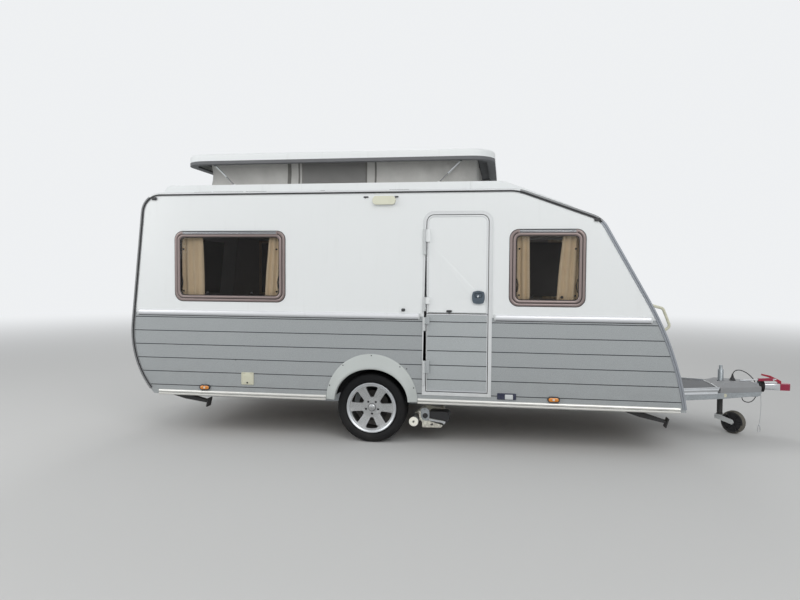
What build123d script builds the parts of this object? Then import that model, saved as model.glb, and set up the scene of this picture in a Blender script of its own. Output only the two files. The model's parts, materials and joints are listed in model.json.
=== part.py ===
from build123d import *
from math import cos, hypot, pi, radians, sin
import os

os.makedirs("parts", exist_ok=True)

# A single-axle travel caravan with a lifting roof, standing on its jockey wheel.
# Sizes are in millimetres. X runs forward from the axle, Y to the left and Z up from
# the ground. The door is on the right side, at -Y. The frame's own origin is on the
# ground under the middle of the whole length.
half_width = 1025
wall = 28
trim = 6
wall_bottom = 354
belt_height = 1053
floor_bottom = 380
floor_thickness = 40
beyond = 9000

# Corners of the body seen from the side, and the arcs that join them
tail_back = 2101
tail_height = 960
roof_back = 1988
roof_height = 2068
roof_front = 1173
brow_front = 1811.5
brow_drop = 233
brow_height = roof_height - brow_drop
nose_front = 2167
nose_height = 1209
heel_back = 1853
toe_front = 2463
hem_height = 300
tail_round = 175
brow_round = 400
nose_round = 204
front_split = brow_height - 45
rear_split = roof_height - 118

# Roof, raised lid and the fabric between them
roof_rise = 69
roof_top = roof_height + roof_rise
roof_inset = 75
roof_wall = 6
lid_rear = -1707
lid_front = 980
lid_half_width = 870
lid_corner = 200
lid_gap = 191
lid_bottom = roof_top + lid_gap
lid_depth = 88
lid_skin = 25
lid_lip = 65
lip_thickness = 6
lid_travel = 180
skirt_inset = 150
skirt_thickness = 6
hatch_margin = 90
hatch_corner = 12
roof_joint = 1.5
joint_run = 70

# Running gear
tyre_radius = 288
tyre_width = 195
rim_radius = 190.5
rim_lip = 208
rim_half_width = 88
tyre_inset = 42.5
hub_bore = 17.05
arch_x = 10
arch_height = 362
arch_radius = 378
arch_inner = 302
arch_cut = 335
arch_proud = 32
housing_radius = 345
housing_gap = 52.5
housing_wall = 5

# Chassis and drawbar
rail_y = 575
rail_width = 45
rail_depth = 120
rail_wall = 5
rail_rear = -1830
rail_bend = 1790
rail_front = 3300
rail_front_y = 60
rail_front_depth = 50
coupling_front = 3580
handle_out = 2140
handle_radius = 11

# Door
door_rear = 425
door_front = 978
door_bottom = 420
door_headroom = 172
door_top = roof_height - door_headroom
door_corner = 90
door_flange = 28
door_gap = 5
jamb = 10
split_height = 1080
hinge_x = 440
hinge_y = half_width + 19
knuckle_radius = 11

# Windows
frame_width = 50
frame_depth = 14
frame_step = 24
frame_low = 9
frame_corner = 70
window_drop = 321
window_rise = 96
pane_thickness = 4
pane_slope = 32

# Planks of the lower wall
groove_top = 1013
groove_pitch = 116.3
groove_count = 6
groove_width = 7
groove_depth = 2.5

sides = (("right", -1), ("left", 1))

wheel_y = half_width - tyre_inset - tyre_width / 2
housing_inner_y = wheel_y - tyre_width / 2 - housing_gap
roof_half_width = half_width - roof_inset

# The body's outline from the side: flat roof, sloping nose and rounded tail
with BuildSketch() as body_outline:
    with BuildLine():
        rise = FilletPolyline(
            (-tail_back, tail_height), (-roof_back, roof_height), (roof_front, roof_height),
            (brow_front, brow_height), (nose_front, nose_height),
            radius=[tail_round, brow_round, nose_round],
        )
        TangentArc(rise @ 1, (toe_front, hem_height), tangent=rise % 1)
        TangentArc(rise @ 0, (-heel_back, hem_height), tangent=-(rise % 0))
        Line((-heel_back, hem_height), (toe_front, hem_height))
    make_face()

axle_x = (handle_out + handle_radius - coupling_front) / 2


def side_plane(y):
    """Upright plane along the body; its local axes are forward and up."""
    return Plane(origin=(axle_x, y, 0), x_dir=(1, 0, 0), z_dir=(0, -1, 0))


def plan_plane(z):
    """Level plane; its local axes are forward and left."""
    return Plane(origin=(axle_x, 0, z), x_dir=(1, 0, 0), z_dir=(0, 0, 1))


def cross_plane(x):
    """Upright plane across the body; its local axes are left and up."""
    return Plane(origin=(axle_x + x, 0, 0), x_dir=(0, 1, 0), z_dir=(1, 0, 0))


def body_section(inset, bottom, top):
    """The body's outline moved in by a distance and kept between two heights."""
    with BuildSketch() as section:
        add(body_outline.sketch)
        offset(amount=-inset)
        with Locations((0, (bottom + top) / 2)):
            Rectangle(beyond, top - bottom, mode=Mode.INTERSECT)
    return section.sketch


def window_outline(rear, front, bottom, top, inset):
    """A window's rounded rectangle, made smaller all round by a distance."""
    with BuildSketch() as outline:
        with Locations(((rear + front) / 2, (bottom + top) / 2)):
            RectangleRounded(
                front - rear - 2 * inset, top - bottom - 2 * inset, frame_corner - inset * 0.7
            )
    return outline.sketch


def door_outline(inset, bottom, top):
    """The door opening with round top corners, made smaller by a distance."""
    with BuildSketch() as outline:
        with Locations(((door_rear + door_front) / 2, (door_bottom + door_top) / 2)):
            Rectangle(door_front - door_rear, door_top - door_bottom)
        fillet(outline.vertices().group_by(Axis.Y)[-1], door_corner)
        offset(amount=-inset)
        with Locations((0, (bottom + top) / 2)):
            Rectangle(beyond, top - bottom, mode=Mode.INTERSECT)
    return outline.sketch


# Side windows: rear edge, front edge, bottom, top
side_windows = (
    (-1695, -724, belt_height + window_rise + 5, roof_height - window_drop - 7),
    (1111, 1687, belt_height + window_rise, roof_height - window_drop),
)
jamb_cut = door_outline(door_flange - jamb, 0, 3000)
groove_heights = [groove_top - n * groove_pitch for n in range(groove_count)]

# Side walls in an upper and a lower sheet, with the windows, door and wheel cut out
for side_name, side in sides:
    with BuildPart() as wall_upper:
        with BuildSketch(side_plane(side * (half_width - wall))):
            add(body_section(trim, belt_height, 3000))
            for rear, front, bottom, top in side_windows:
                add(window_outline(rear, front, bottom, top, frame_width), mode=Mode.SUBTRACT)
            if side < 0:
                add(jamb_cut, mode=Mode.SUBTRACT)
        extrude(amount=-side * wall)
    wall_upper.part.label = f"wall_upper_{side_name}"
    export_step(wall_upper.part, f"parts/wall_upper_{side_name}.step")

    with BuildPart() as wall_lower:
        with BuildSketch(side_plane(side * (half_width - wall))):
            add(body_section(trim, wall_bottom, belt_height))
            if side < 0:
                add(jamb_cut, mode=Mode.SUBTRACT)
            with Locations((arch_x, arch_height)):
                Circle(arch_cut, mode=Mode.SUBTRACT)
        extrude(amount=-side * wall)
        with BuildSketch(side_plane(side * half_width)):
            with Locations(*[(0, height) for height in groove_heights]):
                Rectangle(beyond, groove_width)
        extrude(amount=side * groove_depth, mode=Mode.SUBTRACT)
    wall_lower.part.label = f"wall_lower_{side_name}"
    export_step(wall_lower.part, f"parts/wall_lower_{side_name}.step")

# Front, rear and roof panels between the side walls
inner_half = half_width - wall
nose_low = Vector(nose_front, nose_height)
nose_high = Vector(brow_front, brow_height)
nose_middle = (nose_low + nose_high) * 0.5
nose_rise = (nose_high - nose_low).normalized()
front_window_width = 1480
front_window_height = 600
front_window_depth = 46
rear_window_width = 1240
rear_window_height = 560
rear_window_drop = 618
rear_window_centre = roof_height - rear_window_drop
window_rim = 40
rear_slope = Vector(roof_back - tail_back, tail_height - roof_height).normalized()
rear_window_x = rear_slope.X / rear_slope.Y * (rear_window_centre - roof_height) - roof_back


def nose_plane(out):
    """Plane on the sloping nose, moved out from the outline; local axes are across and up."""
    normal = Vector(nose_rise.Y, -nose_rise.X)
    place = nose_middle + normal * out
    return Plane(
        origin=(axle_x + place.X, 0, place.Y),
        x_dir=(0, 1, 0),
        z_dir=(normal.X, 0, normal.Y),
    )


def tail_plane(out):
    """Plane on the tail above the belt, moved out; local axes are across and up."""
    normal = Vector(rear_slope.Y, -rear_slope.X)
    return Plane(
        origin=(axle_x + rear_window_x + normal.X * out, 0, rear_window_centre + normal.Y * out),
        x_dir=(0, -1, 0),
        z_dir=(normal.X, 0, normal.Y),
    )


def shell_between(bottom, top, forward):
    """The body's skin between two heights, ahead of or behind the axle."""
    with BuildSketch() as skin:
        add(body_section(trim, bottom, top))
        add(body_section(trim + wall, bottom, top), mode=Mode.SUBTRACT)
        with Locations((forward * beyond / 2, 0)):
            Rectangle(beyond, beyond, mode=Mode.INTERSECT)
    return skin.sketch


with BuildPart() as front_panel:
    with BuildSketch(side_plane(inner_half)):
        add(shell_between(wall_bottom, front_split, 1))
    extrude(amount=2 * inner_half)
    with BuildSketch(nose_plane(0)):
        RectangleRounded(
            front_window_width - 2 * window_rim, front_window_height - 2 * window_rim, 50
        )
    extrude(amount=100, both=True, mode=Mode.SUBTRACT)
    with BuildSketch(cross_plane(2300)):
        with Locations((0, wall_bottom)):
            Rectangle(860, 2 * (floor_bottom + 8 - wall_bottom))
    extrude(amount=400, mode=Mode.SUBTRACT)
front_panel.part.label = "front_panel"
export_step(front_panel.part, "parts/front_panel.step")

with BuildPart() as rear_panel:
    with BuildSketch(side_plane(inner_half)):
        add(shell_between(wall_bottom, rear_split, -1))
    extrude(amount=2 * inner_half)
    with BuildSketch(tail_plane(0)):
        RectangleRounded(
            rear_window_width - 2 * window_rim, rear_window_height - 2 * window_rim, 50
        )
    extrude(amount=100, both=True, mode=Mode.SUBTRACT)
rear_panel.part.label = "rear_panel"
export_step(rear_panel.part, "parts/rear_panel.step")

# The roof opening lies inside the skirt's foot
lid_length = lid_front - lid_rear
lid_middle = (lid_front + lid_rear) / 2
skirt_length = lid_length - 2 * skirt_inset
skirt_width = 2 * (lid_half_width - skirt_inset)
skirt_corner = lid_corner - skirt_inset / 2
hatch_length = skirt_length - 2 * hatch_margin
hatch_width = skirt_width - 2 * hatch_margin

with BuildPart() as roof_panel:
    with BuildSketch(side_plane(inner_half)):
        add(shell_between(front_split, 3000, 1))
        add(shell_between(rear_split, 3000, -1))
    extrude(amount=2 * inner_half)
    with BuildSketch(plan_plane(front_split)):
        with Locations((lid_middle, 0)):
            RectangleRounded(hatch_length, hatch_width, hatch_corner)
        with Locations((lid_middle - hatch_length / 2, 0), (lid_middle + hatch_length / 2, 0)):
            Rectangle(roof_joint, 2 * half_width)
    extrude(amount=400, mode=Mode.SUBTRACT)
roof_panel.part.label = "roof_panel"
export_step(roof_panel.part, "parts/roof_panel.step")


def roof_profile(inset):
    """The raised roof moulding from the side, resting on the roof panel."""
    with BuildSketch() as profile:
        with BuildLine():
            FilletPolyline(
                (-1880 + inset, roof_height - 68), (-1800 + inset, roof_top - inset),
                (1060, roof_top - inset), (1600 - 2 * inset, roof_height - 138),
                (1500, roof_height - 208),
                radius=[5, 60, 300, 5, 5], close=True,
            )
        make_face()
        add(body_section(trim, -100, 3000), mode=Mode.SUBTRACT)
    return profile.sketch


# Gas struts lean outwards from the roof up to the lid, and lie flat when it is down
strut_y = lid_half_width - 80
strut_span = lid_travel + 1
strut_drop = lid_travel + 1
strut_foot_height = roof_top + 15
strut_top_height = strut_foot_height + strut_drop
strut_reach = hypot(strut_span, strut_drop)
cylinder_radius = 8
cylinder_bore = 5
cylinder_start = 18
rod_radius = 4
rod_overlap = 25
cylinder_length = 150
bore_start = cylinder_length - rod_overlap - lid_travel / 2
pin_radius = 3
fork_inner = 5
fork_plate = 3
fork_half_length = 10
eye_radius = 9
# Struts: name, X of the foot, which way the top leans
struts = (("rear", -1259, -1), ("front", 524, 1))


def fork_plates(x, y, bottom):
    """Plan of the two upright plates that hold a strut's eye between them."""
    with BuildSketch(plan_plane(bottom)) as plates:
        for out in (-1, 1):
            with Locations((x, y + out * (fork_inner + fork_plate / 2))):
                Rectangle(2 * fork_half_length, fork_plate)
    return plates.sketch


with BuildPart() as roof_shell:
    with BuildSketch(side_plane(roof_half_width)):
        add(roof_profile(0))
    extrude(amount=2 * roof_half_width)
    with BuildSketch(side_plane(roof_half_width - roof_wall)):
        add(roof_profile(roof_wall))
    extrude(amount=2 * (roof_half_width - roof_wall), mode=Mode.SUBTRACT)
    with BuildSketch(plan_plane(roof_height - 68)):
        with Locations((lid_middle, 0)):
            RectangleRounded(
                hatch_length + 2 * roof_wall, hatch_width + 2 * roof_wall, hatch_corner + roof_wall
            )
    extrude(amount=roof_rise + 68)
    with BuildSketch(plan_plane(front_split)):
        with Locations((lid_middle, 0)):
            RectangleRounded(hatch_length, hatch_width, hatch_corner)
        for end in (-1, 1):
            for side_name, side in sides:
                joint_x = lid_middle + end * (hatch_length / 2 - 2)
                joint_end = joint_x + end * joint_run
                with BuildLine():
                    Polyline(
                        (joint_x, side * (hatch_width / 2 - 20)), (joint_end, side * half_width),
                        (joint_end + roof_joint, side * half_width),
                        (joint_x + roof_joint, side * (hatch_width / 2 - 20)), close=True,
                    )
                make_face()
    extrude(amount=400, mode=Mode.SUBTRACT)
    with BuildSketch(side_plane(half_width)):
        add(body_section(trim, 1000, 3000))
    extrude(amount=2 * half_width, mode=Mode.SUBTRACT)
    for end_name, foot_x, lean in struts:
        for side_name, side in sides:
            extrude(
                fork_plates(foot_x, side * strut_y, roof_top - roof_wall / 2),
                amount=roof_wall / 2 + strut_foot_height + eye_radius - roof_top,
            )
roof_shell.part.label = "roof_shell"
export_step(roof_shell.part, "parts/roof_shell.step")

# Floor, cut out round the wheels
with BuildPart() as floor_panel:
    with BuildSketch(side_plane(inner_half)):
        add(body_section(trim + wall, floor_bottom, floor_bottom + floor_thickness))
    extrude(amount=2 * inner_half)
    with BuildSketch(plan_plane(floor_bottom)):
        for side_name, side in sides:
            with Locations((arch_x, side * (housing_inner_y + inner_half) / 2)):
                Rectangle(2 * housing_radius, inner_half - housing_inner_y)
    extrude(amount=floor_thickness, mode=Mode.SUBTRACT)
floor_panel.part.label = "floor_panel"
export_step(floor_panel.part, "parts/floor_panel.step")

# Wheel housings inside and arch trims outside, both turned about the arch's centre
arch_axis = Axis((axle_x + arch_x, 0, arch_height), (0, -1, 0))
with BuildPart() as wheel_housings:
    with BuildSketch(plan_plane(arch_height)):
        for side_name, side in sides:
            inner = side * housing_inner_y
            with BuildLine():
                Polyline(
                    (arch_x, inner),
                    (arch_x + housing_radius, inner),
                    (arch_x + housing_radius, side * inner_half),
                    (arch_x + housing_radius - housing_wall, side * inner_half),
                    (arch_x + housing_radius - housing_wall, inner + side * housing_wall),
                    (arch_x, inner + side * housing_wall),
                    close=True,
                )
            make_face()
    revolve(axis=arch_axis, revolution_arc=180)
wheel_housings.part.label = "wheel_housings"
export_step(wheel_housings.part, "parts/wheel_housings.step")

# Radius and how far each point of the arch's section stands out from the wall
arch_section = (
    (arch_radius, 0), (arch_radius - 2, 8), (345, 18), (318, arch_proud), (arch_inner, arch_proud),
    (arch_inner, -22), (arch_inner + 6, -22), (arch_inner + 6, 0),
)
with BuildPart() as wheel_arches:
    with BuildSketch(plan_plane(arch_height)):
        for side_name, side in sides:
            with BuildLine():
                Polyline(
                    *[(arch_x + r, side * (half_width + out)) for r, out in arch_section],
                    close=True,
                )
            make_face()
    revolve(axis=arch_axis, revolution_arc=180)
wheel_arches.part.label = "wheel_arches"
export_step(wheel_arches.part, "parts/wheel_arches.step")

# Corner trims that hold the awning channel, from tail to nose along each side
trim_face = 30
trim_top = 40
trim_proud = 7
channel_start = 15
channel_end = 27
channel_depth = 5
with BuildPart() as edge_trims:
    for side_name, side in sides:
        with BuildSketch(side_plane(side * half_width)):
            add(body_section(0, wall_bottom - 4, 3000))
            add(body_section(trim_face, 0, 3000), mode=Mode.SUBTRACT)
        extrude(amount=-side * trim_proud)
        with BuildSketch(side_plane(side * (half_width + trim_proud))):
            add(body_section(channel_start, 0, 3000))
            add(body_section(channel_end, 0, 3000), mode=Mode.SUBTRACT)
        extrude(amount=side * channel_depth, mode=Mode.SUBTRACT)
        with BuildSketch(side_plane(side * half_width)):
            add(body_section(0, wall_bottom - 4, 3000))
            add(body_section(trim, 0, 3000), mode=Mode.SUBTRACT)
        extrude(amount=side * trim_top)
edge_trims.part.label = "edge_trims"
export_step(edge_trims.part, "parts/edge_trims.step")

# Rails along each side: rear end, front end, bottom, top, how far they stand out
belt_right = ((-2043, 405, 1030, 1077, 14), (994, 2190, 1030, 1077, 14))
belt_left = ((-2043, 2190, 1030, 1077, 14),)
sill = ((-1850, -374, 356, 391, 8), (394, 2405, 356, 391, 8))
with BuildPart() as side_rails:
    for side_name, side in sides:
        for rear, front, bottom, top, out in sill + (belt_right if side < 0 else belt_left):
            with BuildSketch(cross_plane(rear)):
                with Locations((side * half_width, (bottom + top) / 2)):
                    SlotOverall(top - bottom, 2 * out, rotation=90)
                    with Locations((-side * out, 0)):
                        Rectangle(2 * out, top - bottom, mode=Mode.SUBTRACT)
            extrude(amount=front - rear)
side_rails.part.label = "side_rails"
export_step(side_rails.part, "parts/side_rails.step")

# Window frames and their bowed panes
with BuildPart() as window_frames:
    for side_name, side in sides:
        for window in side_windows:
            with BuildSketch(side_plane(side * half_width)):
                add(window_outline(*window, 0))
                add(window_outline(*window, frame_step), mode=Mode.SUBTRACT)
            extrude(amount=-side * frame_low)
            with BuildSketch(side_plane(side * half_width)):
                add(window_outline(*window, frame_step))
                add(window_outline(*window, frame_width), mode=Mode.SUBTRACT)
            extrude(amount=-side * frame_depth)
window_frames.part.label = "window_frames"
export_step(window_frames.part, "parts/window_frames.step")

# Bowed panes on the nose and tail: plane, width, height, depth
end_windows = (
    (nose_plane, front_window_width, front_window_height, front_window_depth),
    (tail_plane, rear_window_width, rear_window_height, 26),
)
bowed_panes = []
for place, width, height, depth in end_windows:
    with BuildPart() as bowed_pane:
        with BuildSketch(place(-trim)):
            RectangleRounded(width, height, 60)
        extrude(amount=depth, taper=pane_slope)
        outward = Axis(place(0).origin, place(0).z_dir)
        offset(amount=-pane_thickness, openings=bowed_pane.faces().sort_by(outward)[0])
    bowed_panes.append(bowed_pane.part)

with BuildPart() as window_panes:
    for side_name, side in sides:
        for window in side_windows:
            with BuildSketch(side_plane(side * (half_width + 4))):
                add(window_outline(*window, frame_width))
            extrude(amount=-side * pane_thickness)
    add(bowed_panes)
window_panes.part.label = "window_panes"
export_step(window_panes.part, "parts/window_panes.step")

# Door frame with its hinge knuckles
# Hinges: lower end, length of each half, leaf that the upper half carries
hinges = (
    (door_top - 346, 99, "upper"),
    (split_height + 20, 54, "upper"),
    (split_height - 140, 54, "lower"),
    (door_bottom + 80, 99, "lower"),
)
knuckle_gap = 2
# Knuckles: lower end, length, owner
knuckles = [(low, length, "frame") for low, length, leaf in hinges]
knuckles += [(low + length + knuckle_gap, length, leaf) for low, length, leaf in hinges]
lock_x = door_front - 108
lock_z = split_height + 133
lock_depth = 18
lock_shoulder = 42
lock_foot = 40
lock_bulge = 8.5
lock_half_height = 52
grip_width = 62
grip_height = 40
grip_depth = 12
barrel_radius = 13


def lock_outline():
    """The lock's barrel shape: bowed on all four sides, narrower at the foot."""
    side = lock_shoulder + lock_bulge
    shoulder_z = lock_half_height - lock_bulge
    with BuildSketch() as outline:
        with BuildLine():
            ThreePointArc(
                (-lock_shoulder, shoulder_z), (0, lock_half_height), (lock_shoulder, shoulder_z)
            )
            ThreePointArc((lock_shoulder, shoulder_z), (side, 0), (lock_foot, -shoulder_z))
            ThreePointArc((lock_foot, -shoulder_z), (0, -lock_half_height), (-lock_foot, -shoulder_z))
            ThreePointArc((-lock_foot, -shoulder_z), (-side, 0), (-lock_shoulder, shoulder_z))
        make_face()
        fillet(outline.vertices(), 9)
    return outline.sketch


with BuildPart() as door_frame:
    with BuildSketch(side_plane(-(half_width - wall))):
        add(door_outline(door_flange - jamb, 0, 3000))
        add(door_outline(door_flange, 0, 3000), mode=Mode.SUBTRACT)
    extrude(amount=wall)
    with BuildSketch(side_plane(-half_width)):
        add(door_outline(0, 0, 3000))
        add(door_outline(door_flange, 0, 3000), mode=Mode.SUBTRACT)
    extrude(amount=trim)
    for bottom, length, owner in knuckles:
        if owner == "frame":
            with BuildSketch(plan_plane(bottom)):
                with Locations((hinge_x, -hinge_y)):
                    Circle(knuckle_radius)
                with Locations((hinge_x, -(half_width + trim + hinge_y) / 2)):
                    Rectangle(2 * knuckle_radius, hinge_y - half_width - trim)
            extrude(amount=length)
door_frame.part.label = "door_frame"
export_step(door_frame.part, "parts/door_frame.step")

# The door's two leaves close together on a split below the lock
leaf_proud = 2
leaf_inset = door_flange + door_gap
leaf_limits = {
    "upper": (split_height + door_gap / 2, 3000),
    "lower": (0, split_height - door_gap / 2),
}
for leaf, (leaf_bottom, leaf_top) in leaf_limits.items():
    with BuildPart() as door_leaf:
        with BuildSketch(side_plane(-(half_width - wall + leaf_proud))):
            add(door_outline(leaf_inset, leaf_bottom, leaf_top))
        extrude(amount=wall)
        if leaf == "lower":
            with BuildSketch(side_plane(-(half_width + leaf_proud))):
                with Locations(*[(0, height) for height in groove_heights]):
                    Rectangle(beyond, groove_width)
            extrude(amount=-groove_depth, mode=Mode.SUBTRACT)
        if leaf == "upper":
            with BuildSketch(side_plane(-(half_width + leaf_proud))):
                with Locations((lock_x, lock_z)):
                    add(lock_outline())
            extrude(amount=lock_depth)
            with BuildSketch(side_plane(-(half_width + leaf_proud + lock_depth))):
                with Locations((lock_x, lock_z + lock_half_height / 3)):
                    RectangleRounded(grip_width, grip_height, 12)
            extrude(amount=-grip_depth, mode=Mode.SUBTRACT)
            with BuildSketch(side_plane(-(half_width + leaf_proud + lock_depth - grip_depth))):
                with Locations((lock_x, lock_z + lock_half_height / 3)):
                    RectangleRounded(grip_width - 16, grip_height - 22, 6)
            extrude(amount=grip_depth)
            with BuildSketch(side_plane(-(half_width + leaf_proud + lock_depth))):
                with Locations((lock_x, lock_z - lock_half_height / 2)):
                    Circle(barrel_radius)
            extrude(amount=5)
        for bottom, length, owner in knuckles:
            if owner == leaf:
                with BuildSketch(plan_plane(bottom)):
                    with Locations((hinge_x, -hinge_y)):
                        Circle(knuckle_radius)
                    with Locations((hinge_x + 22, -hinge_y + 4)):
                        Rectangle(44, 6)
                    with Locations((hinge_x + 36, -(half_width + hinge_y) / 2)):
                        Rectangle(16, hinge_y - half_width)
                extrude(amount=length)
    door_leaf.part.label = f"door_{leaf}"
    export_step(door_leaf.part, f"parts/door_{leaf}.step")

# Raised lid, its fabric skirt and the gas struts
lid_underside = lid_bottom + lid_depth - lid_skin
with BuildPart() as roof_lid:
    with BuildSketch(plan_plane(lid_bottom)):
        with Locations((lid_middle, 0)):
            RectangleRounded(lid_length, 2 * lid_half_width, lid_corner)
    extrude(amount=lid_depth)
    fillet(roof_lid.faces().sort_by(Axis.Z)[-1].edges(), 24)
    offset(amount=-lid_skin, openings=roof_lid.faces().sort_by(Axis.Z)[0])
    with BuildSketch(plan_plane(lid_bottom)):
        with Locations((lid_middle, 0)):
            RectangleRounded(
                lid_length - 2 * lid_skin, 2 * (lid_half_width - lid_skin), lid_corner - lid_skin
            )
            RectangleRounded(
                lid_length - 2 * lid_lip, 2 * (lid_half_width - lid_lip), lid_corner - lid_lip,
                mode=Mode.SUBTRACT,
            )
    extrude(amount=lip_thickness)
    for end_name, foot_x, lean in struts:
        for side_name, side in sides:
            top_x = foot_x + lean * strut_span
            plates_bottom = strut_top_height - eye_radius
            extrude(
                fork_plates(top_x, side * strut_y, plates_bottom),
                amount=lid_underside - plates_bottom,
            )
            with BuildSketch(side_plane(side * strut_y + fork_inner)):
                with Locations((top_x, strut_top_height)):
                    Circle(pin_radius)
            extrude(amount=2 * fork_inner)
roof_lid.part.label = "roof_lid"
export_step(roof_lid.part, "parts/roof_lid.step")

with BuildPart() as skirt:
    with BuildSketch(plan_plane(roof_top)):
        with Locations((lid_middle, 0)):
            RectangleRounded(skirt_length, skirt_width, skirt_corner)
            RectangleRounded(
                skirt_length - 2 * skirt_thickness, skirt_width - 2 * skirt_thickness,
                skirt_corner - skirt_thickness, mode=Mode.SUBTRACT,
            )
    extrude(amount=lid_underside - roof_top)
skirt.part.label = "skirt"
export_step(skirt.part, "parts/skirt.step")

for end_name, foot_x, lean in struts:
    top_x = foot_x + lean * strut_span

    def strut_plane(side):
        """Plane across the strut at its top eye, looking down along it."""
        return Plane(
            origin=(axle_x + top_x, side * strut_y, strut_top_height),
            x_dir=(0, 1, 0),
            z_dir=(-lean * strut_span, 0, -strut_drop),
        )

    with BuildPart() as strut_cylinders:
        for side_name, side in sides:
            with BuildSketch(strut_plane(side)):
                Circle(rod_radius)
            extrude(amount=cylinder_start)
            with BuildSketch(strut_plane(side).offset(cylinder_start)):
                Circle(cylinder_radius)
            extrude(amount=cylinder_length - cylinder_start)
            with BuildSketch(strut_plane(side).offset(bore_start)):
                Circle(cylinder_bore)
            extrude(amount=cylinder_length, mode=Mode.SUBTRACT)
            with BuildSketch(side_plane(side * strut_y)):
                with Locations((top_x, strut_top_height)):
                    Circle(eye_radius)
            extrude(amount=rod_radius, both=True)
            with BuildSketch(side_plane(side * strut_y)):
                with Locations((top_x, strut_top_height)):
                    Circle(pin_radius + 0.1)
            extrude(amount=fork_inner, both=True, mode=Mode.SUBTRACT)
    strut_cylinders.part.label = f"strut_cylinders_{end_name}"
    export_step(strut_cylinders.part, f"parts/strut_cylinders_{end_name}.step")

    with BuildPart() as strut_rods:
        for side_name, side in sides:
            with BuildSketch(strut_plane(side).offset(cylinder_length - rod_overlap)):
                Circle(rod_radius)
            extrude(amount=strut_reach - cylinder_length + rod_overlap)
            with BuildSketch(side_plane(side * strut_y)):
                with Locations((foot_x, strut_foot_height)):
                    Circle(7)
            extrude(amount=3, both=True)
    strut_rods.part.label = f"strut_rods_{end_name}"
    export_step(strut_rods.part, f"parts/strut_rods_{end_name}.step")

# Wheels: tyre, and rim with its hub and brake drum
spoke_count = 6
opening_radius = 176
lug_count = 5
lug_circle = 54
for side_name, side in sides:
    hub_plane = Plane(origin=(axle_x, side * wheel_y, tyre_radius), x_dir=(1, 0, 0), z_dir=(0, side, 0))
    spin_axis = Axis(hub_plane.origin, (0, 1, 0))
    with BuildPart() as tyre:
        with BuildSketch(Plane(origin=hub_plane.origin, x_dir=(0, side, 0), z_dir=(1, 0, 0))):
            with BuildLine():
                half = tyre_width / 2
                Polyline(
                    (-80, rim_radius), (-80, rim_lip + 2), (-half, 236), (-half + 2, 260),
                    (-half + 11, 279), (-half + 30, tyre_radius), (half - 30, tyre_radius),
                    (half - 11, 279), (half - 2, 260), (half, 236), (80, rim_lip + 2),
                    (80, rim_radius), close=True,
                )
            make_face()
        revolve(axis=spin_axis)
    tyre.part.label = f"tyre_{side_name}"
    export_step(tyre.part, f"parts/tyre_{side_name}.step")

    with BuildPart() as rim:
        with BuildSketch(Plane(origin=hub_plane.origin, x_dir=(0, side, 0), z_dir=(1, 0, 0))):
            with BuildLine():
                Polyline(
                    (-80, rim_radius), (-80, rim_lip), (-rim_half_width, rim_lip),
                    (-rim_half_width, rim_radius - 8), (rim_half_width, rim_radius - 8),
                    (rim_half_width, rim_lip), (80, rim_lip), (80, rim_radius), close=True,
                )
            make_face()
            with BuildLine():
                Polyline(
                    (-90, hub_bore), (-90, 128), (-20, 128), (-20, 60), (28, 74),
                    (44, rim_radius - 4), (76, rim_radius - 4), (72, 150), (62, 82), (62, 0),
                    (30, 0), (30, hub_bore), close=True,
                )
            make_face()
        revolve(axis=spin_axis)
        with BuildSketch(hub_plane) as openings:
            with PolarLocations(0, spoke_count, start_angle=180 / spoke_count):
                Polygon((84, -12), (190, -64), (190, 64), (84, 12), align=None)
            Circle(opening_radius, mode=Mode.INTERSECT)
            fillet(openings.vertices(), 11)
        extrude(amount=rim_half_width, mode=Mode.SUBTRACT)
        with BuildSketch(hub_plane.offset(46)):
            with PolarLocations(lug_circle, lug_count, start_angle=-90):
                Circle(9)
        extrude(amount=rim_half_width, mode=Mode.SUBTRACT)
    rim.part.label = f"rim_{side_name}"
    export_step(rim.part, f"parts/rim_{side_name}.step")

# Axle tube ahead of the wheels, trailing arms, stub axles and brake backplates
axle_tube_x = 140
axle_tube_z = 296
axle_tube_radius = 42
arm_end_y = wheel_y - 123
arm_y = arm_end_y - 62
stub_radius = 17
backplate_radius = 122
with BuildPart() as axle_beam:
    with BuildSketch(side_plane(arm_y)):
        with Locations((axle_tube_x, axle_tube_z)):
            RegularPolygon(axle_tube_radius, 6)
    extrude(amount=2 * arm_y)
    for side_name, side in sides:
        with BuildSketch(side_plane(side * arm_y)):
            with BuildLine():
                Polyline(
                    (axle_tube_x + 44, axle_tube_z + 40), (axle_tube_x + 44, axle_tube_z - 40),
                    (0, tyre_radius - 32), (-34, tyre_radius - 10), (-34, tyre_radius + 24),
                    close=True,
                )
            make_face()
        extrude(amount=-side * (arm_end_y - arm_y))
        with BuildSketch(side_plane(side * arm_end_y)):
            with Locations((0, tyre_radius)):
                Circle(backplate_radius)
        extrude(amount=-side * 8)
        with BuildSketch(side_plane(side * arm_end_y)):
            with Locations((0, tyre_radius)):
                Circle(stub_radius)
        extrude(amount=-side * (wheel_y + 20 - arm_end_y))
axle_beam.part.label = "axle_beam"
export_step(axle_beam.part, "parts/axle_beam.step")

# Chassis rails run under the floor and bend inwards to the coupling


def rail_band(side, width, bottom):
    """Plan of one rail, of a given width measured out from its inner face."""
    with BuildSketch(plan_plane(bottom)) as band:
        with BuildLine():
            Polyline(
                (rail_rear, side * rail_y), (rail_bend, side * rail_y),
                (rail_front, side * rail_front_y),
            )
            offset(amount=width, side=Side.LEFT if side > 0 else Side.RIGHT)
        make_face()
    return band.sketch


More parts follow.
